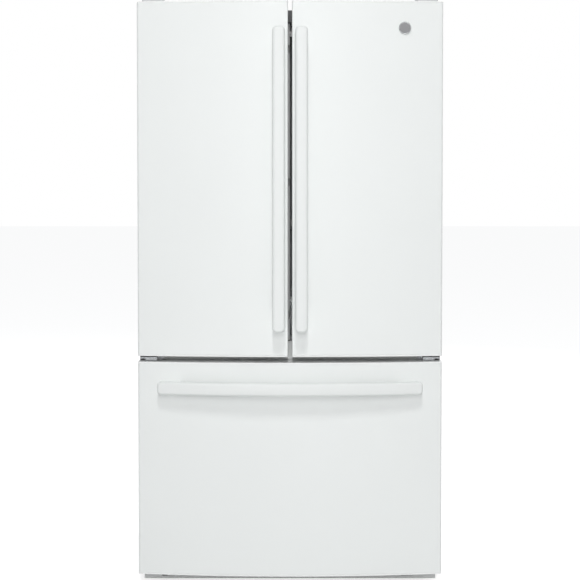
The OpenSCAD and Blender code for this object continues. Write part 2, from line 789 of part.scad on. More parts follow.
// All fixing screws of the cabinet: top brackets, middle brackets and rear cover
module cabinet_screws() color("silver") {
    both() {
        for (p = hinge_screws) {
            rod_z([p.x, p.y, case_top + plate_t], 5.5, 4, 6);
            rod_z([p.x, p.y, case_top], screw_r, plate_t + 1);
        }
        for (x = [hinge_x + 4, hinge_x + 32]) {
            rod_y([x, y_case - 6, mid_plate_z - 4], screw_r + 0.6, 2.5, 6);
            rod_y([x, y_case - 4, mid_plate_z - 4], screw_r - 0.5, 4);
        }
        for (x = [100, 250, 430])
            for (z = [case_z + 10, room_z - 14])
                rod_y([x, y_back - 4, z], 4, 2.5);
    }
}

// ---------- fresh food compartment ----------

track_t = 8;
tower_t = 24;
shelf_y1 = ff_back - tower_t - 2;
shelf_y0 = shelf_y1 - shelf_d;
rim_h = 16;
rim_w = 14;
glass_in = rim_w - 6;                // the glass lies 6 mm over the inner edge of its rim
shelf_x0 = 6;
shelf_x1 = ff_half - 6;
track_x = [75, ff_half - 15];
low_shelf_z = cover_z + 175;
high_shelf_z = cover_z + 375;
slide_shelf_z = cover_z + 205;
split_y = shelf_y0 + 265;

// Plastic cover of the air duct, and the steel ladder tracks on each side of it
module air_tower() {
    z0 = cover_z + 40;
    color("white") difference() {
        block([-55, ff_back - tower_t, z0], [55, ff_back, ff_top - 40]);
        block([-52, ff_back - tower_t + 3, z0 + 3], [52, ff_back + 1, ff_top - 43]);
        for (z = [z0 + 60:90:ff_top - 100], x = [-40, 16])
            block([x, ff_back - tower_t - 1, z], [x + 24, ff_back - tower_t + 4, z + 8]);
    }
    color("silver") both() for (x = track_x) difference() {
        block([x - 6, ff_back - track_t, z0], [x + 6, ff_back, ff_top - 40]);
        for (z = [z0 + 20:50:ff_top - 70])
            block([x - 2, ff_back - track_t - 1, z], [x + 2, ff_back - 2, z + 14]);
    }
}

// Plastic rim of a glass shelf, rebated for the glass
module shelf_rim(x0, x1, y0, y1, z) {
    difference() {
        block([x0, y0, z], [x1, y1, z + rim_h]);
        block([x0 + rim_w, y0 + rim_w, z - 1], [x1 - rim_w, y1 - rim_w, z + rim_h + 1]);
        block([x0 + glass_in, y0 + glass_in, z + rim_h - glass_t],
              [x1 - glass_in, y1 - glass_in, z + rim_h + 1]);
    }
}

module glass(x0, x1, y0, y1, z) {
    block([x0 + glass_in, y0 + glass_in, z + rim_h - glass_t],
          [x1 - glass_in, y1 - glass_in, z + rim_h]);
}

// Pair of cantilever arms hooked into the tracks
module shelf_arms(z) {
    back = ff_back - track_t;
    front = shelf_y0 + 40;
    for (x = track_x) translate([x - 1.5, 0, 0]) rotate([90, 0, 90]) linear_extrude(height = 3)
        polygon([[back, z - 45], [back, z], [front, z], [front, z - 12]]);
}

runner_drop = 24;

// Fixed shelves; the lower left one keeps only its back half, with runners for the front half
module shelf_frames() color("white") {
    for (z = [low_shelf_z, high_shelf_z]) {
        shelf_rim(shelf_x0, shelf_x1, shelf_y0, shelf_y1, z);
        shelf_arms(z);
    }
    mirror([1, 0, 0]) {
        shelf_rim(shelf_x0, shelf_x1, shelf_y0, shelf_y1, high_shelf_z);
        shelf_arms(high_shelf_z);
        shelf_rim(shelf_x0, shelf_x1, split_y, shelf_y1, slide_shelf_z);
        shelf_arms(slide_shelf_z - runner_drop);
        runner_z0 = slide_shelf_z - runner_drop;
        for (x = [shelf_x0, shelf_x1 - 3])
            block([x, shelf_y0, runner_z0], [x + 3, shelf_y1, slide_shelf_z]);
        for (x = [shelf_x0, shelf_x1 - 12])
            block([x, shelf_y0, runner_z0], [x + 12, shelf_y1, runner_z0 + 3]);
    }
    shelf_rim(-shelf_x1, shelf_x1, pan_y0 - 8, shelf_y1, cover_z);
}

module shelf_glass() color("aquamarine", 0.4) {
    for (z = [low_shelf_z, high_shelf_z]) glass(shelf_x0, shelf_x1, shelf_y0, shelf_y1, z);
    mirror([1, 0, 0]) {
        glass(shelf_x0, shelf_x1, shelf_y0, shelf_y1, high_shelf_z);
        glass(shelf_x0, shelf_x1, split_y, shelf_y1, slide_shelf_z);
    }
    glass(-shelf_x1, shelf_x1, pan_y0 - 8, shelf_y1, cover_z);
}

// Front half of the lower left shelf, which slides back under the other half
module slide_shelf() color("aquamarine", 0.5) mirror([1, 0, 0]) {
    x0 = shelf_x0 + 3 + fit;
    x1 = shelf_x1 - 3 - fit;
    z = slide_shelf_z - runner_drop + 3 + fit;
    shelf_rim(x0, x1, shelf_y0, split_y - 4, z);
    glass(x0, x1, shelf_y0, split_y - 4, z);
}

pan_y0 = ff_back - 30 - pan_d;
pan_y1 = pan_y0 + pan_d;
frame_wall = 4;
floor_z = crisper_z - 12;

// Frame that carries the two crispers over the wide drawer
module crisper_frame() color("white") {
    both() block([ff_half - frame_wall, pan_y0 - 4, ff_z], [ff_half, pan_y1 + 6, cover_z]);
    block([-ff_half + frame_wall, pan_y0 - 4, floor_z], [ff_half - frame_wall, pan_y1 + 6, floor_z + 4]);
    block([-frame_wall / 2, pan_y0 - 4, floor_z + 4], [frame_wall / 2, pan_y1 + 6, cover_z]);
}

// A clear pan with a lip to pull it by
module pan(x0, x1, z0, z1) {
    tub([x0, pan_y0, z0], [x1, pan_y1, z1], pan_t);
    block([x0 + 20, pan_y0 - 12, z1 - 14], [x1 - 20, pan_y0, z1 - 2]);
}

module crisper() color("azure", 0.6)
    pan(frame_wall / 2 + fit, ff_half - frame_wall - fit, floor_z + 4 + fit, floor_z + 4 + crisper_h);

module deli_drawer() color("azure", 0.6)
    pan(-ff_half + frame_wall + fit, ff_half - frame_wall - fit, ff_z + fit, ff_z + deli_h);

box_half = 150;
box_y0 = y_case + 110;
box_y1 = box_y0 + 240;
box_h = 32;
filter_x = 210;
filter_z = ff_top - filter_r - 6;
head_y = box_y1 - 60;

// Ceiling unit: housing, lamp lens, control strip and the head that takes the filter
module control_housing() {
    color("gainsboro") difference() {
        block([-box_half, box_y0, ff_top - box_h], [box_half, box_y1, ff_top]);
        block([-box_half + 3, box_y0 + 3, ff_top - box_h + 3], [box_half - 3, box_y1 - 3, ff_top + 1]);
        block([-110, box_y0 + 70, ff_top - box_h - 1], [110, box_y1 - 50, ff_top - box_h + 4]);
    }
    color("white") block([-110, box_y0 + 70, ff_top - box_h], [110, box_y1 - 50, ff_top - box_h + 3]);
    color("black") block([-90, box_y0 - 1.5, ff_top - 26], [90, box_y0, ff_top - 8]);
    color("white") difference() {
        block([filter_x - 34, head_y, filter_z - 30], [filter_x + 34, box_y1, ff_top]);
        rod_y([filter_x, head_y - 1, filter_z], 12 + pin_fit, 36);
    }
}

// Cartridge with a neck into the head and a bar to turn it by
module water_filter() color("white") {
    rod_y([filter_x, box_y0 + 28, filter_z], filter_r, head_y - fit - box_y0 - 28);
    rod_y([filter_x, head_y - 1, filter_z], 12, 34);
    block([filter_x - filter_r, box_y0 + 14, filter_z - 6], [filter_x + filter_r, box_y0 + 29, filter_z + 6]);
}

// ---------- freezer ----------

duct_y = fz_back - 44;
fan_z = fz_top - 92;
motor_y = fz_back - 18;

// Plastic cover over the coil, with a grille in front of the fan and slots below
module freezer_back() color("white") {
    difference() {
        block([-fz_half, duct_y, step_z], [fz_half, fz_back, fz_top]);
        block([-fz_half + 3, duct_y + 3, step_z - 1], [fz_half - 3, fz_back + 1, fz_top - 3]);
        rod_y([0, duct_y - 1, fan_z], evaporator_fan_r + 4, 6);
        for (x = [-320:40:290])
            block([x, duct_y - 1, step_z + 16], [x + 28, duct_y + 4, step_z + 24]);
    }
    for (x = [-40:20:40]) intersection() {
        block([x - 1.5, duct_y, step_z], [x + 1.5, duct_y + 3, fz_top]);
        rod_y([0, duct_y - 1, fan_z], evaporator_fan_r + 4, 6);
    }
}

// A run of pipe that goes to and fro along X between x0 and x1, rows apart upwards
module serpentine(x0, x1, y, z0, rows, step, r) {
    for (n = [0:rows - 1]) {
        rod_x([x0, y, z0 + n * step], r, x1 - x0, 24);
        if (n < rows - 1) translate([n % 2 == 0 ? x1 : x0, y, z0 + (n + 0.5) * step])
            rotate([90, n % 2 == 0 ? 90 : -90, 0]) rotate_extrude(angle = 180, $fn = 32)
                translate([step / 2, 0]) circle(r = r, $fn = 24);
    }
}

// Cooling coil between two end plates, and the fan's motor on the back wall
module evaporator() color("silver") {
    for (y = [duct_y + 14, duct_y + 32]) serpentine(-250, 250, y, step_z + 45, 4, 32, 4);
    for (x = [-240, 238]) block([x, duct_y + 6, step_z + 0.5], [x + 2, duct_y + 40, step_z + 160]);
    rod_y([0, motor_y, fan_z], 20, fz_back - motor_y);
    rod_y([0, duct_y + 8, fan_z], 3, motor_y - duct_y - 7);
}

// Five pitched blades on a hub, axis along Z, from 0 to depth
module fan(r, hub_r, bore_r, depth) {
    difference() {
        union() {
            cylinder(r = hub_r, h = depth, $fn = fine);
            for (n = [0:4]) rotate([0, 0, n * 72]) translate([hub_r - 2, 0, depth / 2]) rotate([35, 0, 0])
                translate([0, -depth / 2, -0.75]) cube([r - hub_r, depth, 1.5]);
        }
        translate([0, 0, -1]) cylinder(r = bore_r + pin_fit, h = depth + 2, $fn = fine);
    }
}

module evaporator_fan() color("white")
    translate([0, duct_y + 10, fan_z]) rotate([-90, 0, 0]) fan(evaporator_fan_r, 14, 3, 14);

ice_x = -245;
ice_y0 = -60;
ice_y1 = 140;
ice_z = fz_top - 43;
mould_r = 28;
rake_r = 5;
cells = 6;
cell_l = (ice_y1 - ice_y0 - 8) / cells;

// Mould with its cell walls, a bearing at the front and the motor box at the back
module ice_maker() color("gainsboro") {
    difference() {
        union() {
            block([ice_x - 34, ice_y0, ice_z - 32], [ice_x + 34, ice_y1, ice_z]);
            block([ice_x - 10, ice_y0, ice_z - 1], [ice_x + 10, ice_y0 + 4, ice_z + 12]);
            block([ice_x - 34, ice_y1, ice_z - 32], [ice_x + 34, ice_y1 + 60, fz_top]);
        }
        for (n = [0:cells - 1]) rod_y([ice_x, ice_y0 + 4 + n * cell_l + 1, ice_z], mould_r, cell_l - 2);
        rod_y([ice_x, ice_y0 - 1, ice_z], rake_r + 4, 0.9);
        rod_y([ice_x, ice_y0 + 4, ice_z], rake_r + 2, ice_y1 - ice_y0 - 4);
        rod_y([ice_x, ice_y0 - 1, ice_z], rake_r + pin_fit, ice_y1 - ice_y0 + 14);
    }
}

module ice_rake() color("white") {
    rod_y([ice_x, ice_y0, ice_z], rake_r, ice_y1 - ice_y0 + 12);
    for (n = [0:cells - 1])
        block([ice_x - 2, ice_y0 + 4 + (n + 0.5) * cell_l - 2, ice_z],
              [ice_x + 2, ice_y0 + 4 + (n + 0.5) * cell_l + 2, ice_z + mould_r - 3]);
}

// ---------- machine room ----------

room_mid = (room_y + y_back) / 2;
pump_x = 230;
pump_r = 75;
pump_z = case_z + 20 + pump_r;

// Compressor capsule on a steel foot plate with four rubber mounts
module compressor() {
    color("black") {
        rod_z([pump_x, room_mid, pump_z], pump_r, 14);
        translate([pump_x, room_mid, pump_z]) sphere(r = pump_r, $fn = fine);
        translate([pump_x, room_mid, pump_z + 14]) sphere(r = pump_r, $fn = fine);
        rod_z([pump_x, room_mid, pump_z + 4], pump_r + 3, 6);
        block([pump_x - 100, room_mid - 70, case_z + 19], [pump_x + 100, room_mid + 70, case_z + 22]);
    }
    color("dimgray") for (x = [-85, 85]) for (y = [-55, 55])
        rod_z([pump_x + x, room_mid + y, case_z], 12, 19);
}

fan_x = -60;
fan_mid_z = case_z + 111;

// Tube coil on two end plates, the fan shroud, and the fan's motor on its post
module condenser() {
    color("dimgray") {
        for (y = [-75, -25, 25, 75])
            serpentine(-385, -145, room_mid + y, case_z + 32, 5, 30, 4);
        for (x = [-372, -160]) block([x, room_mid - 95, case_z + 18], [x + 2, room_mid + 95, case_z + 170]);
        for (x = [-372, -160]) for (y = [-112, 95])
            block([x, room_mid + y, case_z], [x + 2, room_mid + y + 17, case_z + 170]);
    }
    color("white") difference() {
        block([fan_x - 3, room_y + 6, case_z], [fan_x, y_back - 10, room_z - 34]);
        rod_x([fan_x - 4, room_mid, fan_mid_z], condenser_fan_r + 4, 5);
    }
    color("silver") {
        rod_x([fan_x + 30, room_mid, fan_mid_z], 18, 40);
        block([fan_x + 42, room_mid - 8, case_z], [fan_x + 56, room_mid + 8, fan_mid_z - 12]);
        rod_x([fan_x + 4, room_mid, fan_mid_z], 3, 28);
    }
}

module condenser_fan() color("white")
    translate([fan_x + 6, room_mid, fan_mid_z]) rotate([0, 90, 0]) fan(condenser_fan_r, 16, 3, 20);

module drain_pan() color("black")
    tub([-355, room_mid - 92, case_z], [-165, room_mid + 92, case_z + 16], 2, 2);

valve_x = 360;
valve_z = case_z + 30;

module inlet_hole() { rod_y([valve_x, y_back - 8, valve_z], 9, 8); }

// Discharge and suction pipes with the drier, the water valve and the bare cord inlet
module refrigerant_lines() {
    top = pump_z + 14 + pump_r;
    color("peru") {
        pipe([[pump_x, room_mid, top], [pump_x, room_mid, top + 14], [pump_x - 60, room_mid, top + 14],
              [pump_x - 60, room_mid + 90, top + 14], [-159, room_mid + 90, top + 14],
              [-159, room_mid + 90, case_z + 170]], 3);
        rod_x([0, room_mid + 90, top + 14], 9, 90);
    }
    color("white") {
        block([valve_x - 20, y_back - 50, case_z], [valve_x + 20, y_back - 14, valve_z + 24]);
        rod_y([valve_x, y_back - 15, valve_z], 7, 14);
    }
    color("black") difference() {
        rod_y([400, y_back - 4, case_z + 60], 9, 4);
        rod_y([400, y_back - 3, case_z + 60], 4.5, 4);
    }
}

case_wrapper();
rear_panels();
cabinet_foam();
fresh_food_liner();
freezer_liner();
center_rail();
base_frame();
door_hinges();
hinge_covers();
cabinet_screws();
mullion_guide();
control_housing();
air_tower();
shelf_frames();
shelf_glass();
crisper_frame();
fixed_rails();
freezer_back();
evaporator();
ice_maker();
compressor();
condenser();
drain_pan();
refrigerant_lines();
door_panel();  // left_door_panel
door_foam();  // left_door_foam
door_liner(bin_levels);  // left_door_liner
door_gasket();  // left_door_gasket
door_handle();  // left_door_handle
left_bins();  // left_door_bins
mullion_hinges();
flip_mullion();
mirror([1, 0, 0]) door_panel();  // right_door_panel
mirror([1, 0, 0]) door_foam();  // right_door_foam
mirror([1, 0, 0]) door_liner(right_levels);  // right_door_liner
mirror([1, 0, 0]) door_gasket();  // right_door_gasket
mirror([1, 0, 0]) door_handle();  // right_door_handle
mirror([1, 0, 0]) right_bins();  // right_door_bins
badge_disc();
mirror([1, 0, 0]) lid();  // dairy_lid
drawer_panel();
drawer_foam();
drawer_liner();
drawer_gasket();
drawer_handle();
drawer_frame();
lower_basket();
upper_basket();
middle_rails();
mirror([1, 0, 0]) crisper();  // crisper_left
crisper();  // crisper_right
deli_drawer();
slide_shelf();
evaporator_fan();
condenser_fan();
mirror([1, 0, 0]) foot();  // left_foot
foot();  // right_foot
rear_rollers();
ice_rake();
water_filter();
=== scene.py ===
import math

import bmesh
import bpy
from mathutils import Matrix, Vector


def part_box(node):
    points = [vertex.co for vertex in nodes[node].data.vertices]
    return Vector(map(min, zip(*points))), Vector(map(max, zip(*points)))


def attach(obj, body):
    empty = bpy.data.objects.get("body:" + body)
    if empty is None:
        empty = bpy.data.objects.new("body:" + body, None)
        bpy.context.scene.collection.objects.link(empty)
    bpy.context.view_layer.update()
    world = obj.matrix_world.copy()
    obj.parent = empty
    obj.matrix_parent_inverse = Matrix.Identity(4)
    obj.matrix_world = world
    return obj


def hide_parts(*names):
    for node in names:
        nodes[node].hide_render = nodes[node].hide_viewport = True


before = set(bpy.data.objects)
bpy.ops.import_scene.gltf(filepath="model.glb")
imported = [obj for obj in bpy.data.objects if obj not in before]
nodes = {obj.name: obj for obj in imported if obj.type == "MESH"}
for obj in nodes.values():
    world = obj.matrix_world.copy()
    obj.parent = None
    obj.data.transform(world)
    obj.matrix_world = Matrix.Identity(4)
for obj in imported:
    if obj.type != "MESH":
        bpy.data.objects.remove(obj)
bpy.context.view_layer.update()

# ---------- the place where it stands ----------
# A camera at chest height, tipped slightly down. The floor and the air are white. One tall lamp
# stands straight in front, one hangs high above it, and a broad weaker one hangs behind.
scene = bpy.context.scene
scene.view_settings.view_transform = "Standard"

tip_down = 2.13
front_view = bpy.data.cameras.new("front_view")
front_view.lens = 93.8
front_view.shift_y = -0.06
camera = bpy.data.objects.new("front_view", front_view)
camera.location = (0, -4.8765, 1.169)
camera.rotation_euler = (math.radians(90 - tip_down), 0, 0)
scene.collection.objects.link(camera)
scene.camera = camera


def add(tree, kind, values, **settings):
    """A shader node with its settings, and its inputs set to values or joined to other sockets."""
    node = tree.nodes.new("ShaderNode" + kind)
    for setting, value in settings.items():
        setattr(node, setting, value)
    for socket, value in values.items():
        if isinstance(value, bpy.types.NodeSocket):
            tree.links.new(value, node.inputs[socket])
        else:
            node.inputs[socket].default_value = value
    return node


def seen_directly(tree):
    """1 on camera, mirror and glass rays, and 0 on the rays that carry light."""
    ray = add(tree, "LightPath", {}).outputs
    mirrored = add(tree, "Math", {0: ray["Is Camera Ray"], 1: ray["Is Glossy Ray"]}, operation="MAXIMUM")
    return add(tree, "Math", {0: mirrored.outputs[0], 1: ray["Is Transmission Ray"]},
               operation="MAXIMUM").outputs[0]


air_light = 0.34
air = bpy.data.worlds.new("white_air")
air.use_nodes = True
scene.world = air
tree = air.node_tree
tree.nodes.clear()
lit = add(tree, "Background", {"Color": (0.97, 0.985, 1, 1), "Strength": air_light})
white = add(tree, "Background", {"Color": (1, 1, 1, 1), "Strength": 1})
mixed = add(tree, "MixShader", {0: seen_directly(tree), 1: lit.outputs[0], 2: white.outputs[0]})
add(tree, "OutputWorld", {"Surface": mixed.outputs[0]})

floor_finish = bpy.data.materials.new("white_floor")
floor_finish.use_nodes = True
tree = floor_finish.node_tree
tree.nodes.clear()
floor_lift = 0.68
matt = add(tree, "BsdfDiffuse", {"Color": (0.82, 0.82, 0.82, 1)})
lift = add(tree, "Math", {0: seen_directly(tree), 1: floor_lift}, operation="MULTIPLY")
glow = add(tree, "Emission", {"Color": (1, 1, 1, 1), "Strength": lift.outputs[0]})
both_parts = add(tree, "AddShader", {0: matt.outputs[0], 1: glow.outputs[0]})
add(tree, "OutputMaterial", {"Surface": both_parts.outputs[0]})

floor_form = bmesh.new()
bmesh.ops.create_grid(floor_form, x_segments=1, y_segments=1, size=60)
floor_mesh = bpy.data.meshes.new("floor")
floor_form.to_mesh(floor_mesh)
floor_form.free()
floor_mesh.materials.append(floor_finish)
floor = bpy.data.objects.new("floor", floor_mesh)
scene.collection.objects.link(floor)


def hang_lamp(name, place, aim, width, height, power):
    """A flat lamp at place that faces aim."""
    light = bpy.data.lights.new(name, "AREA")
    light.shape = "RECTANGLE"
    light.size = width
    light.size_y = height
    light.energy = power
    lamp = bpy.data.objects.new(name, light)
    lamp.location = place
    lamp.rotation_euler = (Vector(aim) - Vector(place)).to_track_quat("-Z", "Y").to_euler()
    scene.collection.objects.link(lamp)


front_aim = (0, -0.4, 1.0)
hang_lamp("front_lamp", (0, -6.0, 2.2), front_aim, width=0.7, height=3.4, power=113)
hang_lamp("high_lamp", (0, -5.0, 7.2), front_aim, width=0.6, height=1.6, power=167)
hang_lamp("back_lamp", (2.2, 4.4, 3.6), (0, 0.4, 0.9), width=3.0, height=3.0, power=70)

# ---------- cabinet case ----------
# One painted steel sheet folded over the top and the sides. Its front edge is turned in round
# the two openings, where the liners hook on, and a bridge of the same sheet parts them.


def effect(name):
    """An empty shader node group for a surface: the tree, its inputs, its outputs and 1 / Size."""
    tree = bpy.data.node_groups.new(name, "ShaderNodeTree")
    takes = {"Vector": "Vector", "Color": "Color", "Roughness": "Float", "Size": "Float", "Depth": "Float"}
    gives = {"Color": "Color", "Roughness": "Float", "Normal": "Vector"}
    for way, sockets in (("INPUT", takes), ("OUTPUT", gives)):
        for label, kind in sockets.items():
            tree.interface.new_socket(label, in_out=way, socket_type="NodeSocket" + kind)
    given = tree.nodes.new("NodeGroupInput").outputs
    fineness = add(tree, "Math", {0: 1.0, 1: given["Size"]}, operation="DIVIDE").outputs[0]
    return tree, given, tree.nodes.new("NodeGroupOutput").inputs, fineness


def spread(tree, mask, low, high, **settings):
    """The middle of a mask, where most of its area lies, spread from low to high."""
    values = {"Value": mask, "From Min": 0.3, "From Max": 0.7, "To Min": low, "To Max": high}
    return add(tree, "MapRange", values, **settings).outputs[0]


def put_out(tree, given, wanted, mask, tint, gloss, height):
    """Ends an effect: mask shifts the colour by tint and the roughness by gloss; height is the relief."""
    tone = spread(tree, mask, 1 - tint, 1 + tint, interpolation_type="SMOOTHSTEP")
    colour = add(tree, "HueSaturation", {"Value": tone, "Color": given["Color"]})
    shift = spread(tree, mask, -gloss, gloss)
    rough = add(tree, "Math", {0: given["Roughness"], 1: shift}, operation="ADD", use_clamp=True)
    relief = add(tree, "Bump", {"Strength": 1, "Distance": given["Depth"], "Height": height})
    for made, socket in ((colour, "Color"), (rough, "Roughness"), (relief, "Normal")):
        tree.links.new(made.outputs[0], wanted[socket])


# Sprayed enamel: a faint skin like orange peel, and broad soft changes of tone and gloss
enamel, given, wanted, fineness = effect("enamel")
peel = add(enamel, "TexNoise", {"Vector": given["Vector"], "Scale": fineness, "Detail": 1.5}).outputs[0]
cloud = add(enamel, "TexNoise", {"Vector": given["Vector"], "Scale": 2.6, "Detail": 3}).outputs[0]
put_out(enamel, given, wanted, cloud, tint=0.006, gloss=0.03, height=peel)


def surface(name, kind, colour, roughness, size, depth, **plain):
    """A material of the effect kind, with grains of this size and depth; plain goes on its shader."""
    made = bpy.data.materials.new(name)
    made.use_nodes = True
    tree = made.node_tree
    shader = tree.nodes["Principled BSDF"]
    place = add(tree, "TexCoord", {})
    relief = add(tree, "Group", {}, node_tree=kind)
    inputs = {"Vector": place.outputs["Object"], "Color": (*colour, 1), "Roughness": roughness,
              "Size": size, "Depth": depth}
    for socket, value in inputs.items():
        if socket == "Vector":
            tree.links.new(value, relief.inputs[socket])
        else:
            relief.inputs[socket].default_value = value
    for result, socket in (("Color", "Base Color"), ("Roughness", "Roughness"), ("Normal", "Normal")):
        tree.links.new(relief.outputs[result], shader.inputs[socket])
    for socket, value in plain.items():
        shader.inputs[socket.replace("_", " ")].default_value = value
    return made


def add_box(form, lo, hi):
    """A box between two corners; returns its edges."""
    lo, hi = Vector(lo), Vector(hi)
    size = Matrix.Diagonal((*(hi - lo), 1))
    made = bmesh.ops.create_cube(form, size=1, matrix=Matrix.Translation((lo + hi) / 2) @ size)
    return list({edge for vert in made["verts"] for edge in vert.link_edges})


def slice_at(form, axis, places):
    """Cuts every face at the given places along one axis, so that it can be bent or opened there."""
    normal = Vector((axis == "x", axis == "y", axis == "z"))
    for place in places:
        bmesh.ops.bisect_plane(form, geom=form.verts[:] + form.edges[:] + form.faces[:], dist=1e-7,
                               plane_co=normal * place, plane_no=normal)


def round_over(form, edges, radius, segments):
    """Rounds the given edges."""
    bmesh.ops.bevel(form, geom=edges, offset=radius, offset_type="OFFSET", segments=segments,
                    profile=0.5, affect="EDGES", clamp_overlap=True, material=-1)


def corners(form, angle=30):
    """The edges where two faces meet at more than angle."""
    least = math.radians(angle)
    return [e for e in form.edges if len(e.link_faces) == 2 and e.calc_face_angle() > least]


def along(edges, axis):
    """Those of the edges that run along one axis."""
    index = "xyz".index(axis)
    return [e for e in edges if abs((e.verts[0].co - e.verts[1].co).normalized()[index]) > 0.99]


same_place = 1e-6
sharp_from = math.radians(38)


def piece(name, form, finish, sheet=0.0):
    """Turns a form into a named object; sheet gives an open form its thickness behind its faces."""
    bmesh.ops.remove_doubles(form, verts=form.verts, dist=same_place)
    mesh = bpy.data.meshes.new(name)
    form.to_mesh(mesh)
    form.free()
    mesh.shade_smooth()
    mesh.set_sharp_from_angle(angle=sharp_from)
    mesh.materials.append(finish)
    made = bpy.data.objects.new(name, mesh)
    scene.collection.objects.link(made)
    if sheet:
        wall = made.modifiers.new("sheet", "SOLIDIFY")
        wall.thickness = sheet
        wall.offset = -1
    made.modifiers.new("even_shading", "WEIGHTED_NORMAL").keep_sharp = True
    return made


def mount(made, body, slot, *stood_for):
    """Fixes a piece to its body and hides the CAD nodes that it stands for; its slot is not used."""
    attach(made, body)
    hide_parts(*stood_for)


def fit(name, form, finish, body, slot, node, sheet=0.0):
    """Makes a piece of a form and fixes it to its body in the place of a CAD node."""
    mount(piece(name, form, finish, sheet), body, slot, node)


case_white = surface("case_white", enamel, (0.80, 0.815, 0.805), 0.34, 0.0035, 0.00004)
liner_t = 0.002
case_t = 0.0012
case_lo, case_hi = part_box("case_wrapper")
case_r = 0.004
rail_r = 0.0006
wall = Vector((liner_t, 0, liner_t))
food_lo, food_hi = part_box("fresh_food_liner")
food_lo, food_hi = food_lo + wall, food_hi - wall
cold_lo, cold_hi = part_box("freezer_liner")
cold_lo, cold_hi = cold_lo + wall, cold_hi - wall

case_form = bmesh.new()
add_box(case_form, case_lo, case_hi)
slice_at(case_form, "x", [food_lo.x, cold_lo.x, cold_hi.x, food_hi.x])
slice_at(case_form, "z", [cold_lo.z, food_lo.z, food_hi.z])
opened = [f for f in case_form.faces if f.normal.y > 0.9 or f.normal.z < -0.9]
for face in case_form.faces:
    middle = face.calc_center_median()
    in_food = abs(middle.x) < food_hi.x and food_lo.z < middle.z < food_hi.z
    in_freezer = abs(middle.x) < cold_hi.x and cold_lo.z < middle.z < food_lo.z
    if face.normal.y < -0.9 and (in_food or in_freezer):
        opened.append(face)
bmesh.ops.delete(case_form, geom=opened, context="FACES")
round_over(case_form, corners(case_form), case_r, 5)
fit("case_shell", case_form, case_white, "cabinet", "case_paint", "case_wrapper", sheet=case_t)

rail_lo, rail_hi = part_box("center_rail")
rail_form = bmesh.new()
round_over(rail_form, add_box(rail_form, rail_lo, rail_hi), rail_r, 2)
fit("bridge_sheet", rail_form, case_white, "cabinet", "case_paint", "center_rail")

# ---------- rear panels ----------
# Galvanised sheet: a back with one broad pressed field, the folded ceiling of the machine room,
# and its slotted cover. They are hooked into the case and screwed.

# Rolled metal: patches of slightly different tone and gloss, with faint edges between them
rolled, given, wanted, fineness = effect("rolled")
crystal = add(rolled, "TexVoronoi", {"Vector": given["Vector"], "Scale": fineness, "Randomness": 1})
tone = add(rolled, "RGBToBW", {0: crystal.outputs["Color"]}).outputs[0]
cloud = add(rolled, "TexNoise", {"Vector": given["Vector"], "Scale": 9, "Detail": 5}).outputs[0]
mottle = add(rolled, "Mix", {0: 0.35, 2: cloud, 3: tone}).outputs[0]
put_out(rolled, given, wanted, mottle, tint=0.09, gloss=0.08, height=crystal.outputs["Distance"])
zinc_sheet = surface("zinc_sheet", rolled, (0.44, 0.455, 0.46), 0.42, 0.009, 0.00005, Metallic=0.9)


def solids(form):
    """The separate solids of a form, each as a list of its faces."""
    waiting, found = set(form.faces), []
    while waiting:
        solid, fresh = [], [waiting.pop()]
        while fresh:
            face = fresh.pop()
            solid.append(face)
            near = {other for edge in face.edges for other in edge.link_faces} & waiting
            waiting -= near
            fresh.extend(near)
        found.append(solid)
    return found


def extent(faces):
    """Lowest and highest corner of some faces."""
    spans = list(zip(*(vert.co for face in faces for vert in face.verts)))
    return Vector([min(span) for span in spans]), Vector([max(span) for span in spans])


def cad_copy(node, keep=None):
    """A merged copy of a CAD node's mesh, with only the solids whose corners pass keep(lo, hi)."""
    form = bmesh.new()
    form.from_mesh(nodes[node].data)
    bmesh.ops.remove_doubles(form, verts=form.verts, dist=same_place)
    dropped = [f for solid in solids(form) if keep and not keep(*extent(solid)) for f in solid]
    bmesh.ops.delete(form, geom=dropped, context="FACES")
    bmesh.ops.dissolve_limit(form, angle_limit=math.radians(1), verts=form.verts, edges=form.edges)
    return form


def solid_boxes(node):
    """Lowest and highest corner of each separate solid of a CAD node."""
    form = cad_copy(node)
    boxes = [extent(solid) for solid in solids(form)]
    form.free()
    return boxes


def eased(name, form, width, finish, *others):
    """A piece with every sharp edge rounded; others are (finish, test) pairs, and the faces whose
    middle and normal pass a test get that finish."""
    for index, (other, test) in enumerate(others, 1):
        for face in form.faces:
            if test(face.calc_center_median(), face.normal):
                face.material_index = index
    for solid in solids(form) if width else ():
        sharp = {e for f in solid for e in f.edges if len(e.link_faces) == 2}
        round_over(form, [e for e in sharp if e.calc_face_angle() > math.radians(30)], width, 2)
    made = piece(name, form, finish)
    for other, test in others:
        made.data.materials.append(other)
    return made


def from_cad(name, node, finish, body, slot, *others, edge, keep=None):
    """Fixes a copy of a CAD node, its edges rounded by edge, in the place of the node itself."""
    mount(eased(name, cad_copy(node, keep), edge, finish, *others), body, slot, node)


rear_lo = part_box("rear_panels")[0]
field_in = 0.055
bead_w = 0.006
bead_h = 0.0012
rear_edge = 0.0005
rear_form = cad_copy("rear_panels")
back_field = max((f for f in rear_form.faces if f.normal.y > 0.9), key=lambda f: f.calc_area())
bmesh.ops.inset_individual(rear_form, faces=[back_field], thickness=field_in)
bmesh.ops.inset_individual(rear_form, faces=[back_field], thickness=bead_w, depth=-bead_h)
mount(eased("rear_sheets", rear_form, rear_edge, zinc_sheet), "cabinet", "zinc_sheet", "rear_panels")

# ---------- insulation and cabinet liners ----------
# Two thermoformed plastic tubs, glossy and round-cornered, stand in the case. Foam poured between
# the tubs and the case sets hard and holds both.

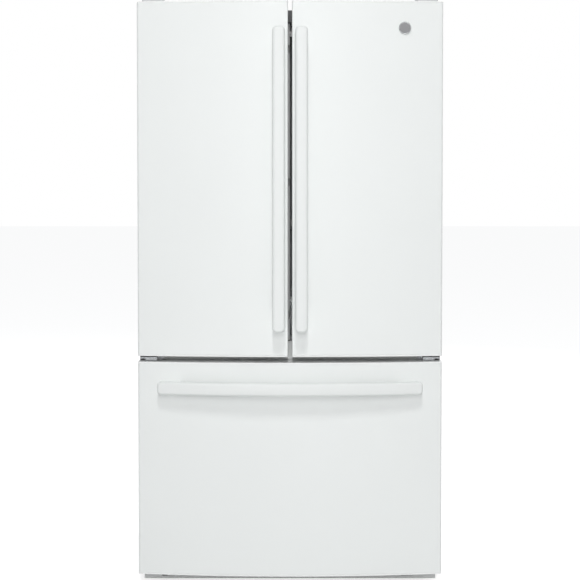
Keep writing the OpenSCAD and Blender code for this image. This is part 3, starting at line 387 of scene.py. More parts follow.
# Set foam: closed cells in a warm, uneven skin
cells, given, wanted, fineness = effect("cells")
cell = add(cells, "TexVoronoi", {"Vector": given["Vector"], "Scale": fineness}, feature="SMOOTH_F1")
cloud = add(cells, "TexNoise", {"Vector": given["Vector"], "Scale": 14, "Detail": 6}).outputs[0]
put_out(cells, given, wanted, cloud, tint=0.10, gloss=0.06, height=cell.outputs["Distance"])
foam_cream = surface("foam_cream", cells, (0.78, 0.68, 0.42), 0.85, 0.0025, 0.0004)


def dress(node, finish):
    """Puts a finish on a CAD node that is kept as it is."""
    for place in nodes[node].material_slots:
        place.material = finish


dress("cabinet_foam", foam_cream)

# Moulded plastic: a fine pebbled skin, and soft changes of tone and gloss
moulded, given, wanted, fineness = effect("moulded")
pebble = add(moulded, "TexVoronoi", {"Vector": given["Vector"], "Scale": fineness}, feature="SMOOTH_F1")
cloud = add(moulded, "TexNoise", {"Vector": given["Vector"], "Scale": 5.5, "Detail": 4}).outputs[0]
put_out(moulded, given, wanted, cloud, tint=0.012, gloss=0.05, height=pebble.outputs["Distance"])
liner_white = surface("liner_white", moulded, (0.83, 0.845, 0.845), 0.30, 0.0016, 0.00003)
liner_r = 0.008
lip = 0.004


def drawn(result):
    """The vertices that an extrusion made."""
    return [g for g in result["geom"] if isinstance(g, bmesh.types.BMVert)]


def draw_along(form, outline, x_from, x_to):
    """Adds the solid between two places on X that has an outline of (y, z) points."""
    side = form.faces.new([form.verts.new((x_from, y, z)) for y, z in outline])
    far_side = drawn(bmesh.ops.extrude_face_region(form, geom=[side]))
    bmesh.ops.translate(form, verts=far_side, vec=(x_to - x_from, 0, 0))
    bmesh.ops.recalc_face_normals(form, faces=form.faces)


def liner_tub(name, outline, lo, hi, node):
    """A cavity along X with an outline of (y, z) points, open at the front and lipped there."""
    form = bmesh.new()
    draw_along(form, outline, lo.x, hi.x)
    mouth = [f for f in form.faces if f.calc_center_median().y < lo.y + 1e-5]
    bmesh.ops.delete(form, geom=mouth, context="FACES")
    round_over(form, corners(form), liner_r, 5)
    edge = drawn(bmesh.ops.extrude_edge_only(form, edges=[e for e in form.edges if e.is_boundary]))
    centre = (lo + hi) / 2
    growth = (1 + 2 * lip / (hi.x - lo.x), 1, 1 + 2 * lip / (hi.z - lo.z))
    bmesh.ops.scale(form, verts=edge, vec=growth, space=Matrix.Translation(-centre))
    bmesh.ops.recalc_face_normals(form, faces=form.faces)
    bmesh.ops.reverse_faces(form, faces=form.faces)
    fit(name, form, liner_white, "cabinet", "liner_plastic", node, sheet=liner_t)


food_end = food_hi.y - liner_t
outline = [(food_lo.y, food_lo.z), (food_end, food_lo.z), (food_end, food_hi.z), (food_lo.y, food_hi.z)]
liner_tub("food_tub", outline, food_lo, food_hi, "fresh_food_liner")
cold_end = cold_hi.y - liner_t
foam_behind = 0.040
step_y = rear_lo.y - foam_behind
step_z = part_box("freezer_back")[0].z
outline = [(cold_lo.y, cold_lo.z), (step_y, cold_lo.z), (step_y, step_z), (cold_end, step_z),
           (cold_end, cold_hi.z), (cold_lo.y, cold_hi.z)]
liner_tub("freezer_tub", outline, cold_lo, cold_hi, "freezer_liner")

# ---------- base, feet and rollers ----------
# A base plate with folded rails, painted dark, carries the cabinet. Two levelling feet screw into
# sockets at the front, two nylon rollers turn at the back, and a slotted white grille clips on.
base_grey = surface("base_grey", enamel, (0.055, 0.058, 0.062), 0.48, 0.0025, 0.00008)
grille_white = surface("grille_white", moulded, (0.80, 0.81, 0.805), 0.45, 0.0012, 0.00006)
grille_back = case_lo.y + 0.0085
grille_top = case_lo.z - 0.003
from_cad("base_plate", "base_frame", base_grey, "cabinet", "dark_steel",
         (grille_white, lambda middle, normal: middle.y < grille_back and middle.z < grille_top),
         edge=0.0006)

foot_plastic = surface("foot_plastic", moulded, (0.035, 0.036, 0.038), 0.55, 0.001, 0.00006)
foot_steel = surface("foot_steel", rolled, (0.58, 0.59, 0.60), 0.34, 0.0015, 0.00002, Metallic=1.0)
foot_disc_h = 0.006
for side in ("left_foot", "right_foot"):
    from_cad(side + "_screw", side, foot_steel, side, "dark_steel",
             (foot_plastic, lambda middle, normal: middle.z < foot_disc_h + 1e-4), edge=0.0007)

nylon_black = surface("nylon_black", moulded, (0.03, 0.03, 0.032), 0.45, 0.0011, 0.00004)
from_cad("roller_wheels", "rear_rollers", nylon_black, "rear_rollers", "roller_nylon", edge=0.002)

# ---------- door hinges and mullion guide ----------
# Zinc-plated pressed steel. A stepped bracket is screwed to the top of the case at each side, a
# flat one to the middle rail, and a pin on each runs in the door. Plastic covers hide the top
# ones, and a dark plastic block on the case turns the flip mullion as the left door shuts. The
# block's near-black top also stands in for the shade at the top of the middle gap, and its light
# grey foot is painted light, where light falls into that gap from above.
plated = surface("plated", rolled, (0.30, 0.31, 0.32), 0.38, 0.004, 0.00002, Metallic=1.0)
# Near-black: the real nylon of the pin sleeves, and painted shade on the blocks at the tongues' outer ends,
# in the corner between door and drawer.
nylon_and_painted_shade = surface("nylon_and_painted_shade", moulded, (0.045, 0.046, 0.05), 0.5, 0.001, 0.00004)
bracket_lo, bracket_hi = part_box("door_hinges")
tongue_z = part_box("drawer_panel")[1].z + 0.006
tongue_t = 0.004
sleeve_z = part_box("left_door_panel")[0].z
block_w = 0.0125
hinge_in = 0.021
sleeve_r = 0.0085
hinge_y = bracket_lo.y + 0.012
block_front = bracket_lo.y + 0.003
block_back = hinge_y + 0.0145


def on_nylon_or_painted_shade(middle, normal):
    """True on the nylon sleeve round the pin, and on the block at the tongue's outer end, whose near-black
    is painted shade in the corner under the door.
    """
    out_by = bracket_hi.x - abs(middle.x)
    block = out_by < block_w and block_front < middle.y < block_back
    sleeve = math.hypot(out_by - hinge_in, middle.y - hinge_y) < sleeve_r
    return middle.z < sleeve_z and (block or (sleeve and middle.z > tongue_z + tongue_t))


from_cad("hinge_brackets", "door_hinges", plated, "cabinet", "hinge_steel",
         (nylon_and_painted_shade, on_nylon_or_painted_shade), edge=0.0006)
dress("cabinet_screws", plated)

cover_grey = surface("cover_grey", moulded, (0.62, 0.63, 0.63), 0.44, 0.0012, 0.00006)
cover_lo, cover_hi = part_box("hinge_covers")
cover_t = 0.0025
cover_w = 0.062
cover_r = 0.005
step_down = case_lo.y - 0.007
over_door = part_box("left_door_panel")[1].z + 0.0013
over_case = cover_lo.z + 0.0003
outline = [(cover_lo.y, over_door), (step_down, over_door), (step_down, over_case),
           (cover_hi.y, over_case), (cover_hi.y, cover_hi.z), (cover_lo.y, cover_hi.z)]
covers = bmesh.new()
for x in (cover_lo.x, cover_hi.x - cover_w):
    draw_along(covers, outline, x, x + cover_w)
bmesh.ops.delete(covers, geom=[f for f in covers.faces if f.normal.z < -0.9], context="FACES")
round_over(covers, corners(covers), cover_r, 5)
fit("hinge_caps", covers, cover_grey, "cabinet", "grey_plastic", "hinge_covers", sheet=cover_t)

dark_plastic = surface("dark_plastic", moulded, (0.05, 0.05, 0.053), 0.45, 0.001, 0.00005)
# Below this height the guide is light grey as painted light, where light from above falls into the gap; the
# near-black above it is partly painted shade.
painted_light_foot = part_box("mullion_guide")[1].z - 0.0185
from_cad("guide_block", "mullion_guide", dark_plastic, "cabinet", "dark_steel",
         (cover_grey, lambda middle, normal: middle.z < painted_light_foot), edge=0.0015)

# ---------- door and drawer skins ----------
# Prepainted steel, roll-formed to a slow bow and folded back at the sides. Its short flanges lap
# over a moulded cap at the top and the bottom, and foam holds the three together.
skin_white = surface("skin_white", enamel, (0.85, 0.87, 0.86), 0.40, 0.004, 0.00003,
                     Specular_IOR_Level=0.35)
cap_white = surface("cap_white", moulded, (0.89, 0.90, 0.895), 0.42, 0.0012, 0.00004)

bulge = 0.036
skin_t = 0.001
cap_t = 0.014
rim_h = 0.0038
rim_r = 0.0014
seam = 0.0007
flange = 0.009
fold_r = 0.0018
skin_corner = 0.0065
gap_corner = 0.0035
pull_out = 0.050
drawer_lo, drawer_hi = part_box("drawer_panel")
half_w = drawer_hi.x
y_crown = drawer_lo.y
y_edge = y_crown + bulge
front_r = (half_w ** 2 + bulge ** 2) / (2 * bulge)


def bowed(x):
    """Y of the bowed front at x."""
    return y_crown + front_r - math.sqrt(front_r ** 2 - x ** 2)


def bow(form, slices, lo, hi):
    """Bends the front half of a form with a flat front at y_edge to the bow."""
    slice_at(form, "x", [lo.x + (hi.x - lo.x) * n / slices for n in range(1, slices)])
    for vert in form.verts:
        reach = min(1, max(0, (hi.y - vert.co.y) / (hi.y - y_edge)))
        vert.co.y -= reach * (y_edge - bowed(vert.co.x))


def round_sides(form, edges, y_max, inset):
    """Rounds the front uprights: wide on the outside of the appliance, tight beside the middle gap."""
    uprights = [e for e in along(edges, "z") if e.verts[0].co.y < y_max]
    outer = [e for e in uprights if abs(e.verts[0].co.x) > 0.1]
    inner = [e for e in uprights if abs(e.verts[0].co.x) <= 0.1]
    round_over(form, outer, skin_corner - inset, 6)
    if inner:
        round_over(form, inner, gap_corner - inset, 4)


def front_pieces(label, lo, hi, body, node):
    """Skin and two caps of one front between its lowest and highest corner."""
    form = bmesh.new()
    add_box(form, (lo.x, y_edge, lo.z + rim_h + seam), (hi.x, hi.y, hi.z - rim_h - seam))
    bmesh.ops.delete(form, geom=[f for f in form.faces if f.normal.y > 0.9], context="FACES_ONLY")
    ends = [f for f in form.faces if abs(f.normal.z) > 0.9]
    bmesh.ops.inset_individual(form, faces=ends, thickness=flange, use_even_offset=True)
    bmesh.ops.delete(form, geom=ends, context="FACES")
    round_sides(form, corners(form), y_edge + 1e-4, 0)
    round_over(form, corners(form), fold_r, 4)
    slices = 48 if hi.x - lo.x > 0.6 else 24
    bow(form, slices, lo, hi)
    fit(label + "_skin", form, skin_white, body, "door_paint", node, sheet=skin_t)
    caps = bmesh.new()
    for edge, inward in ((lo.z, 1), (hi.z, -1)):
        for x, y, z0, z1 in ((0, 0, 0, rim_h), (skin_t, skin_t, rim_h - 0.001, cap_t)):
            z0, z1 = sorted((edge + inward * z0, edge + inward * z1))
            edges = add_box(caps, (lo.x + x, y_edge + y, z0), (hi.x - x, hi.y, z1))
            round_sides(caps, edges, y_edge + 0.01, x)
    rims = [e for e in corners(caps) if min(abs(e.verts[0].co.z - z) for z in (lo.z, hi.z)) < 1e-5]
    round_over(caps, [e for e in rims if abs(e.verts[0].co.z - e.verts[1].co.z) < 1e-5], rim_r, 3)
    bow(caps, slices, lo, hi)
    fit(label + "_caps", caps, cap_white, body, "door_paint", node)


for label in ("left_door", "right_door"):
    front_pieces(label, *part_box(label + "_panel"), label, label + "_panel")
front_pieces("drawer_front", drawer_lo, drawer_hi, "freezer_drawer", "drawer_panel")

# ---------- inside of the doors and the drawer front ----------
# Foam fills each front, and a thermoformed plastic liner closes its back. A hollow dyke stands up
# from the liner of a door, with small lugs on its inner sides that the bins hang on.
door_liner_t = 0.0025
y_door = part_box("left_door_gasket")[0].y
dyke_w = 0.026
dyke_r = 0.012
dyke_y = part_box("left_door_liner")[1].y
flange_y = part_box("left_door_liner")[0].y + 0.0004
hem = 0.0031
draft = 0.002
field_r = 0.0045
lug_w, lug_h, lug_short, lug_r = 0.009, 0.010, 0.006, 0.002
mullion_room = 0.044
dyke_in_tub = 0.010
dyke_under_tub = 0.014


def shrunk(rim, by):
    """A rectangle (x0, x1, z0, z1) drawn in on all sides."""
    return rim[0] + by, rim[1] - by, rim[2] + by, rim[3] - by


def step_to(face, rim, y):
    """Puts the four corners of a face that looks along Y on the rectangle rim at y."""
    middle = face.calc_center_median()
    for vert in face.verts:
        vert.co = rim[0 if vert.co.x < middle.x else 1], y, rim[2 if vert.co.z < middle.z else 3]


def stepped(steps):
    """An open form from rectangle to rectangle, each (rim, y); returns it and its last face."""
    form = bmesh.new()
    turn = Matrix.Rotation(math.radians(-90), 4, "X")
    bmesh.ops.create_grid(form, x_segments=1, y_segments=1, size=0.1, matrix=turn)
    form.faces.ensure_lookup_table()
    face = form.faces[0]
    step_to(face, *steps[0])
    for rim, y in steps[1:]:
        bmesh.ops.inset_individual(form, faces=[face], thickness=0.0002)
        step_to(face, rim, y)
    return form, face


def door_rims(side):
    """The outer edge of a door liner and that of its dyke, as rectangles."""
    lo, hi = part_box(side + "_liner")
    panel_lo, panel_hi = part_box(side + "_panel")
    low, high = food_lo.z + dyke_under_tub, food_hi.z - dyke_under_tub
    if side == "left_door":
        dyke = (food_lo.x + dyke_in_tub, panel_hi.x - mullion_room, low, high)
    else:
        dyke = (panel_lo.x + mullion_room, food_hi.x - dyke_in_tub, low, high)
    return (lo.x, hi.x, lo.z, hi.z), dyke


def front_foam(node, body):
    """The foam of a front, with the upright corners of its dyke rounded to clear the liner."""
    form = cad_copy(node)
    uprights = [e for e in along(form.edges, "y") if max(v.co.y for v in e.verts) > dyke_y - 0.004]
    round_over(form, uprights, dyke_r - door_liner_t, 4)
    fit(node + "_fill", form, foam_cream, body, "insulation", node)


def tray(edge, dyke, inner, rise):
    """Liner of a front: a flange over the foam, the dyke, and a field set off by inner and rise."""
    field = dyke_w + inner
    steps = [(shrunk(edge, -hem), flange_y), (edge, flange_y), (edge, y_door - 0.001),
             (shrunk(edge, 0.001), y_door), (dyke, y_door), (shrunk(dyke, draft), dyke_y),
             (shrunk(dyke, dyke_w - draft), dyke_y), (shrunk(dyke, dyke_w), y_door),
             (shrunk(dyke, field), y_door), (shrunk(dyke, field + rise), y_door + rise)]
    form = stepped(steps)[0]
    uprights = [e for e in along(form.edges, "y") if max(v.co.y for v in e.verts) > dyke_y - 1e-4]
    round_over(form, uprights, dyke_r, 5)
    pressed = [e for e in corners(form) if min(v.co.y for v in e.verts) > flange_y + 1e-4]
    round_over(form, pressed, field_r, 4)
    return form


for side in ("left_door", "right_door"):
    front_foam(side + "_foam", side)
    edge, dyke = door_rims(side)
    form = tray(edge, dyke, inner=0.016, rise=0.0018)
    fit(side + "_tray", form, liner_white, side, "liner_plastic", side + "_liner", sheet=door_liner_t)
    lugs = bmesh.new()
    undersides = [box[0].z for box in solid_boxes(side + "_bins")]
    for rest in [z for z in undersides if z > food_lo.z + 0.1]:
        for x in (dyke[0] + dyke_w - 0.001, dyke[1] - dyke_w - lug_w + 0.001):
            lug_lo = (x, y_door - 0.001, rest - lug_h)
            lug_hi = (x + lug_w, dyke_y - lug_short, rest - 0.0002)
            round_over(lugs, add_box(lugs, lug_lo, lug_hi), lug_r, 3)
    fit(side + "_lugs", lugs, liner_white, side, "liner_plastic", side + "_liner")

lo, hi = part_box("drawer_liner")
edge = (lo.x, hi.x, lo.z, hi.z)
dyke = (cold_lo.x + 0.036, cold_hi.x - 0.036, cold_lo.z + 0.012, cold_hi.z - 0.012)
front_foam("drawer_foam", "freezer_drawer")
form = tray(edge, dyke, inner=0.030, rise=0.004)
fit("drawer_tray", form, liner_white, "freezer_drawer", "liner_plastic", "drawer_liner", sheet=door_liner_t)

# ---------- gaskets ----------
# Soft grey vinyl pushed into the edge of each liner: a base lip, one bellows fold and a pocket
# that holds the magnet strip. The corners are mitred and welded.

# Vinyl: matt, with a faint skin of drawn lines and dust
vinyl, given, wanted, fineness = effect("vinyl")
grit = add(vinyl, "TexNoise", {"Vector": given["Vector"], "Scale": fineness, "Detail": 2}).outputs[0]
cloud = add(vinyl, "TexNoise", {"Vector": given["Vector"], "Scale": 7, "Detail": 3}).outputs[0]
put_out(vinyl, given, wanted, cloud, tint=0.035, gloss=0.06, height=grit)
gasket_grey = surface("gasket_grey", vinyl, (0.76, 0.77, 0.77), 0.62, 0.0009, 0.00006)

gasket_w = 0.014
section = [(0, 0), (0, 0.002), (0.0032, 0.0042), (0.0012, 0.0068), (0.0032, 0.0092), (0.0004, 0.0104),
           (0.0004, 0.0131), (0.0012, 0.0137)]
for node, body in (("left_door_gasket", "left_door"), ("right_door_gasket", "right_door"),
                   ("drawer_gasket", "freezer_drawer")):
    lo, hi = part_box(node)
    edge = (lo.x, hi.x, lo.z, hi.z)
    outer = [(shrunk(edge, inset), lo.y + rise) for inset, rise in section]
    inner = [(shrunk(edge, gasket_w - inset), lo.y + rise) for inset, rise in reversed(section)]
    form, middle = stepped(outer + inner)
    bmesh.ops.delete(form, geom=[middle], context="FACES")
    bmesh.ops.bridge_loops(form, edges=[e for e in form.edges if e.is_boundary])
    bmesh.ops.recalc_face_normals(form, faces=form.faces)
    fit(node + "_seal", form, gasket_grey, body, "gasket_rubber", node)

# ---------- handles ----------
# White die castings in the paint of the doors, each a bar with a foot at both ends that is screwed
# on from behind. The door bars are straight with round ends, and the drawer bar is bowed outwards.
handle_white = surface("handle_white", enamel, (0.825, 0.845, 0.835), 0.42, 0.003, 0.00003,
                       Specular_IOR_Level=0.3)
bar_t = 0.022
bar_crown = 0.0016
bar_back_r = 0.003
foot_l = 0.070


def bar_form(length, width, end_r):
    """A straight bar along X, its front at y = 0, with its two feet drawn back to y = 1."""
    form = bmesh.new()
    add_box(form, (-length / 2, 0, -width / 2), (length / 2, bar_t, width / 2))
    round_over(form, along(form.edges, "y"), end_r, 10)
    step = length / 2 - foot_l
    slice_at(form, "x", [-step, step])
    feet = [f for f in form.faces if f.normal.y > 0.9 and abs(f.calc_center_median().x) > step]
    foot_ends = drawn(bmesh.ops.extrude_face_region(form, geom=feet))
    bmesh.ops.delete(form, geom=feet, context="FACES")
    for vert in foot_ends:
        vert.co.y = 1
    face_rim = [e for e in corners(form) if all(v.co.y < 1e-5 for v in e.verts)]
    round_over(form, face_rim, min(0.0075, end_r * 0.6), 6)
    inner = [e for e in corners(form) if all(abs(v.co.y - bar_t) < 1e-5 for v in e.verts)]
    round_over(form, inner, bar_back_r, 3)
    slice_at(form, "z", [width * n / 10 for n in range(-3, 4)])
    for vert in form.verts:
        vert.co.y += bar_crown * (vert.co.z * 2 / width) ** 2 * max(0, 1 - vert.co.y / bar_t)
    return form


def pull(name, form, front, body, node):
    """Bends a bar to the line front(x) and stretches its feet back onto the bowed skin."""
    for vert in form.verts:
        x, y = vert.co.x, vert.co.y
        back = front(x) + bar_t
        if y > bar_t:
            share = (y - bar_t) / (1 - bar_t)
            vert.co.y = back + share * (bowed(x) - back)
        else:
            vert.co.y = front(x) + y
    fit(name, form, handle_white, body, "handle_white", node)


upright = Matrix.Rotation(math.radians(90), 3, "Y")
for side in ("left_door", "right_door"):
    lo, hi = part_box(side + "_handle")
    form = bar_form(hi.z - lo.z, hi.x - lo.x, end_r=0.013)
    bmesh.ops.rotate(form, verts=form.verts, cent=(0, 0, 0), matrix=upright)
    bmesh.ops.translate(form, verts=form.verts, vec=((lo.x + hi.x) / 2, 0, (lo.z + hi.z) / 2))
    pull(side + "_pull", form, lambda x: y_crown - pull_out, side, side + "_handle")

lo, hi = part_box("drawer_handle")
pull_half = hi.x
pull_bow = 0.042
pull_r = (pull_half ** 2 + pull_bow ** 2) / (2 * pull_bow)
form = bar_form(hi.x - lo.x, hi.z - lo.z, end_r=0.010)
slice_at(form, "x", [pull_half * n / 24 for n in range(-23, 24)])
bmesh.ops.translate(form, verts=form.verts, vec=(0, 0, (lo.z + hi.z) / 2))
pull("drawer_pull", form, lambda x: lo.y + pull_r - math.sqrt(max(0, pull_r ** 2 - x ** 2)),
     "freezer_drawer", "drawer_handle")

# ---------- badge disc ----------
# A plain turned metal disc, stuck on the right door: a bright raised ring round a satin field.

# Turned metal: fine rings round the middle of the disc, worn brighter in places
turned, given, wanted, fineness = effect("turned")
span = add(turned, "VectorMath", {0: given["Vector"]}, operation="LENGTH").outputs["Value"]
rings = add(turned, "Math", {0: span, 1: fineness}, operation="MULTIPLY").outputs[0]
wave = add(turned, "Math", {0: rings}, operation="SINE").outputs[0]
cloud = add(turned, "TexNoise", {"Vector": given["Vector"], "Scale": 120, "Detail": 4}).outputs[0]
put_out(turned, given, wanted, cloud, tint=0.05, gloss=0.06, height=wave)
field_satin = surface("field_satin", turned, (0.17, 0.17, 0.175), 0.50, 0.00012, 0.000004, Metallic=0.6)
ring_bright = surface("ring_bright", turned, (0.30, 0.31, 0.31), 0.30, 0.00012, 0.000002, Metallic=1.0)

badge_lo, badge_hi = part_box("badge_disc")
badge_r = (badge_hi.x - badge_lo.x) / 2
badge_at = Vector(((badge_lo.x + badge_hi.x) / 2, badge_lo.y, (badge_lo.z + badge_hi.z) / 2))
badge_back = badge_hi.y - badge_lo.y
ring_w = 0.0026
profile = [(0, 0.0011), (badge_r - ring_w - 0.0006, 0.0011), (badge_r - ring_w, 0.0006),
           (badge_r - ring_w * 0.75, 0.0001), (badge_r - ring_w * 0.5, 0), (badge_r - 0.0007, 0.0002),
           (badge_r - 0.0002, 0.0007), (badge_r, 0.0014), (badge_r, badge_back)]
badge_form = bmesh.new()
line = [badge_form.verts.new((r, y, 0)) for r, y in profile]
for a, b in zip(line, line[1:]):
    badge_form.edges.new((a, b))
bmesh.ops.spin(badge_form, geom=badge_form.verts[:] + badge_form.edges[:], cent=(0, 0, 0),
               axis=(0, 1, 0), angle=math.radians(360), steps=72, use_merge=True)
bmesh.ops.remove_doubles(badge_form, verts=badge_form.verts, dist=same_place)
bmesh.ops.recalc_face_normals(badge_form, faces=badge_form.faces)
for face in badge_form.faces:
    middle = face.calc_center_median()
    face.material_index = int(math.hypot(middle.x, middle.z) > badge_r - ring_w - 0.0005)
bmesh.ops.translate(badge_form, verts=badge_form.verts, vec=badge_at)
badge = piece("badge_plate", badge_form, field_satin)
badge.data.materials.append(ring_bright)
for finish in (field_satin, ring_bright):
    tree = finish.node_tree
    centred = add(tree, "Mapping", {"Location": -badge_at})
    place = next(node for node in tree.nodes if node.type == "TEX_COORD")
    relief = next(node for node in tree.nodes if node.type == "GROUP")
    tree.links.new(place.outputs["Object"], centred.inputs["Vector"])
    tree.links.new(centred.outputs[0], relief.inputs["Vector"])
mount(badge, "right_door", "badge_metal", "badge_disc")

# ---------- flip mullion ----------
# A hollow plastic bar with a painted steel face that the magnets of both gaskets pull on. It
# turns on three plastic brackets screwed to the dyke of the left door.
bar_grey = surface("bar_grey", moulded, (0.86, 0.87, 0.87), 0.42, 0.0012, 0.00004)
face_white = surface("face_white", enamel, (0.86, 0.87, 0.865), 0.30, 0.003, 0.00003)
fold = math.radians(102)
face_way = Vector((math.sin(fold), -math.cos(fold), 0))
from_cad("mullion_bar", "flip_mullion", bar_grey, "mullion", "grey_plastic",
         (face_white, lambda middle, normal: normal.dot(face_way) > 0.99), edge=0.0008)
from_cad("mullion_brackets", "mullion_hinges", bar_grey, "left_door", "hinge_steel", edge=0.0008)

# ---------- door bins and dairy lid ----------
# Clear moulded tubs with a turned-out rim and a pressed panel in front. They drop over the lugs
# of the dyke and lift off. The top one of the right door has ears for the pins of its lid.
clear_plastic = surface("clear_plastic", moulded, (0.965, 0.98, 0.985), 0.07, 0.002, 0.00001,
                        Transmission_Weight=0.93, IOR=1.49, Alpha=0.55)
bin_t = 0.0025
panel_in = 0.014
panel_edge = 0.0015
panel_deep = 0.0012
tub_rim_r = 0.0012
inward_way = Vector((0, 1, 0))


def tub(lo, hi, corner, draft, rim, skirt, front=None, floor_r=0.006):
    """An open-topped tub in the box lo, hi, with walls that draw in by draft to the floor, a rim that
    stands out by rim[0] and rim[1] and turns down by skirt, and a panel pressed in on one side."""
    form = bmesh.new()
    middle, half = (lo + hi) / 2, (hi - lo) / 2
    proud = Vector((rim[0], rim[1], 0))
    add_box(form, lo + proud, hi - proud)
    bmesh.ops.delete(form, geom=[f for f in form.faces if f.normal.z > 0.9], context="FACES")
    round_over(form, along(form.edges, "z"), corner, 5)
    floor_rim = [e for e in corners(form) if max(v.co.z for v in e.verts) < lo.z + 1e-5]
    round_over(form, floor_rim, floor_r, 4)
    for vert in form.verts:
        share = draft * (hi.z - vert.co.z) / (hi.z - lo.z)
        vert.co.x -= (vert.co.x - middle.x) / half.x * share
        vert.co.y -= (vert.co.y - middle.y) / half.y * share
    if front:
        broad = max((f for f in form.faces if f.normal.dot(front) > 0.9), key=lambda f: f.calc_area())
        bmesh.ops.inset_individual(form, faces=[broad], thickness=panel_in)
        bmesh.ops.inset_individual(form, faces=[broad], thickness=panel_edge, depth=-panel_deep)
    growth = (half.x / (half.x - rim[0]), half.y / (half.y - rim[1]), 1)
    for scale, drop in ((growth, 0), ((1, 1, 1), skirt)):
        moved = drawn(bmesh.ops.extrude_edge_only(form, edges=[e for e in form.edges if e.is_boundary]))
        bmesh.ops.scale(form, verts=moved, vec=scale, space=Matrix.Translation(-middle))
        bmesh.ops.translate(form, verts=moved, vec=(0, 0, -drop))
    top_rim = [e for e in corners(form, 50) if min(v.co.z for v in e.verts) > hi.z - 1e-4]
    round_over(form, top_rim, tub_rim_r, 2)
    return form


for side in ("left_door", "right_door"):
    boxes = sorted((tuple(lo), tuple(hi)) for lo, hi in solid_boxes(side + "_bins"))
    boxes.sort(key=lambda box: box[0][2])
    for number, (lo, hi) in enumerate(boxes, 1):
        if side == "right_door" and number == len(boxes):
            dairy_z = lo[2] - 0.001
            continue
        form = tub(Vector(lo), Vector(hi), corner=0.011, draft=0.004, rim=(0.0028, 0.0028), skirt=0.006,
                   front=inward_way)
        fit(f"{side}_bin_{number}", form, clear_plastic, side, "clear_plastic", side + "_bins", sheet=bin_t)
from_cad("dairy_bin", "right_door_bins", clear_plastic, "right_door", "clear_plastic", edge=0.0009,
         keep=lambda lo, hi: lo.z > dairy_z)
from_cad("dairy_cover", "dairy_lid", clear_plastic, "dairy_lid", "clear_plastic", edge=0.0012)

# ---------- ceiling unit and water filter ----------
# A grey moulded housing clipped to the ceiling, with a milky lamp lens, a black control strip and
# beside it the head that takes the filter. The white cartridge turns a quarter to lock.
lens_milk = surface("lens_milk", moulded, (0.90, 0.90, 0.88), 0.35, 0.0015, 0.00005,
                    Transmission_Weight=0.35)
strip_black = surface("strip_black", enamel, (0.02, 0.02, 0.022), 0.12, 0.002, 0.00001)
unit_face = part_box("control_housing")[0].y + 0.0016
lens_z = food_hi.z - 0.032 + 1e-4
lens_x = 0.110
head_x = 0.160
from_cad("ceiling_unit", "control_housing", cover_grey, "cabinet", "grey_plastic",
         (lens_milk, lambda middle, normal: abs(middle.x) < lens_x - 0.02 and middle.z < lens_z),
         (strip_black, lambda middle, normal: middle.y < unit_face),
         (liner_white, lambda middle, normal: middle.x > head_x), edge=0.0012)
filter_white = surface("filter_white", moulded, (0.80, 0.82, 0.84), 0.38, 0.001, 0.00003)
from_cad("filter_cartridge", "water_filter", filter_white, "water_filter", "liner_plastic", edge=0.0015)

# ---------- air tower and shelves ----------
# A plastic tower with slots covers the cold-air duct, between punched steel ladder tracks. Each
# shelf is tempered glass moulded into a white rim, on two steel arms hooked into the tracks.
tower_half = 0.060
from_cad("tower_and_tracks", "air_tower", liner_white, "cabinet", "liner_plastic",
         (plated, lambda middle, normal: abs(middle.x) > tower_half), edge=0.0007)
shelf_white = surface("shelf_white", moulded, (0.80, 0.815, 0.81), 0.34, 0.0012, 0.00003)
from_cad("shelf_rims", "shelf_frames", shelf_white, "cabinet", "liner_plastic", edge=0.0012)
tempered = surface("tempered", enamel, (0.88, 0.96, 0.93), 0.03, 0.02, 0.00001,
                   Transmission_Weight=0.96, IOR=1.52)
from_cad("shelf_panes", "shelf_glass", tempered, "cabinet", "shelf_glass", edge=0.0007)

slide_lo, slide_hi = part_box("slide_shelf")
rim_w = 0.014
rim_edge = 0.0012
groove = 0.006
pane_t = 0.004
pane_edge = 0.0007
pane_sunk = 0.0004
rim = bmesh.new()
add_box(rim, slide_lo, slide_hi)
flat = [f for f in rim.faces if abs(f.normal.z) > 0.9]
bmesh.ops.inset_individual(rim, faces=flat, thickness=rim_w)
bmesh.ops.delete(rim, geom=flat, context="FACES_ONLY")
bmesh.ops.bridge_loops(rim, edges=[e for e in rim.edges if e.is_boundary])
bmesh.ops.recalc_face_normals(rim, faces=rim.faces)
round_over(rim, corners(rim), rim_edge, 3)
fit("slide_rim", rim, shelf_white, "slide_shelf", "liner_plastic", "slide_shelf")
pane = bmesh.new()
in_rim = rim_w - groove
pane_hi = slide_hi - Vector((in_rim, in_rim, pane_sunk))
pane_lo = Vector((slide_lo.x + in_rim, slide_lo.y + in_rim, pane_hi.z - pane_t))
round_over(pane, add_box(pane, pane_lo, pane_hi), pane_edge, 2)
fit("slide_pane", pane, tempered, "slide_shelf", "shelf_glass", "slide_shelf")

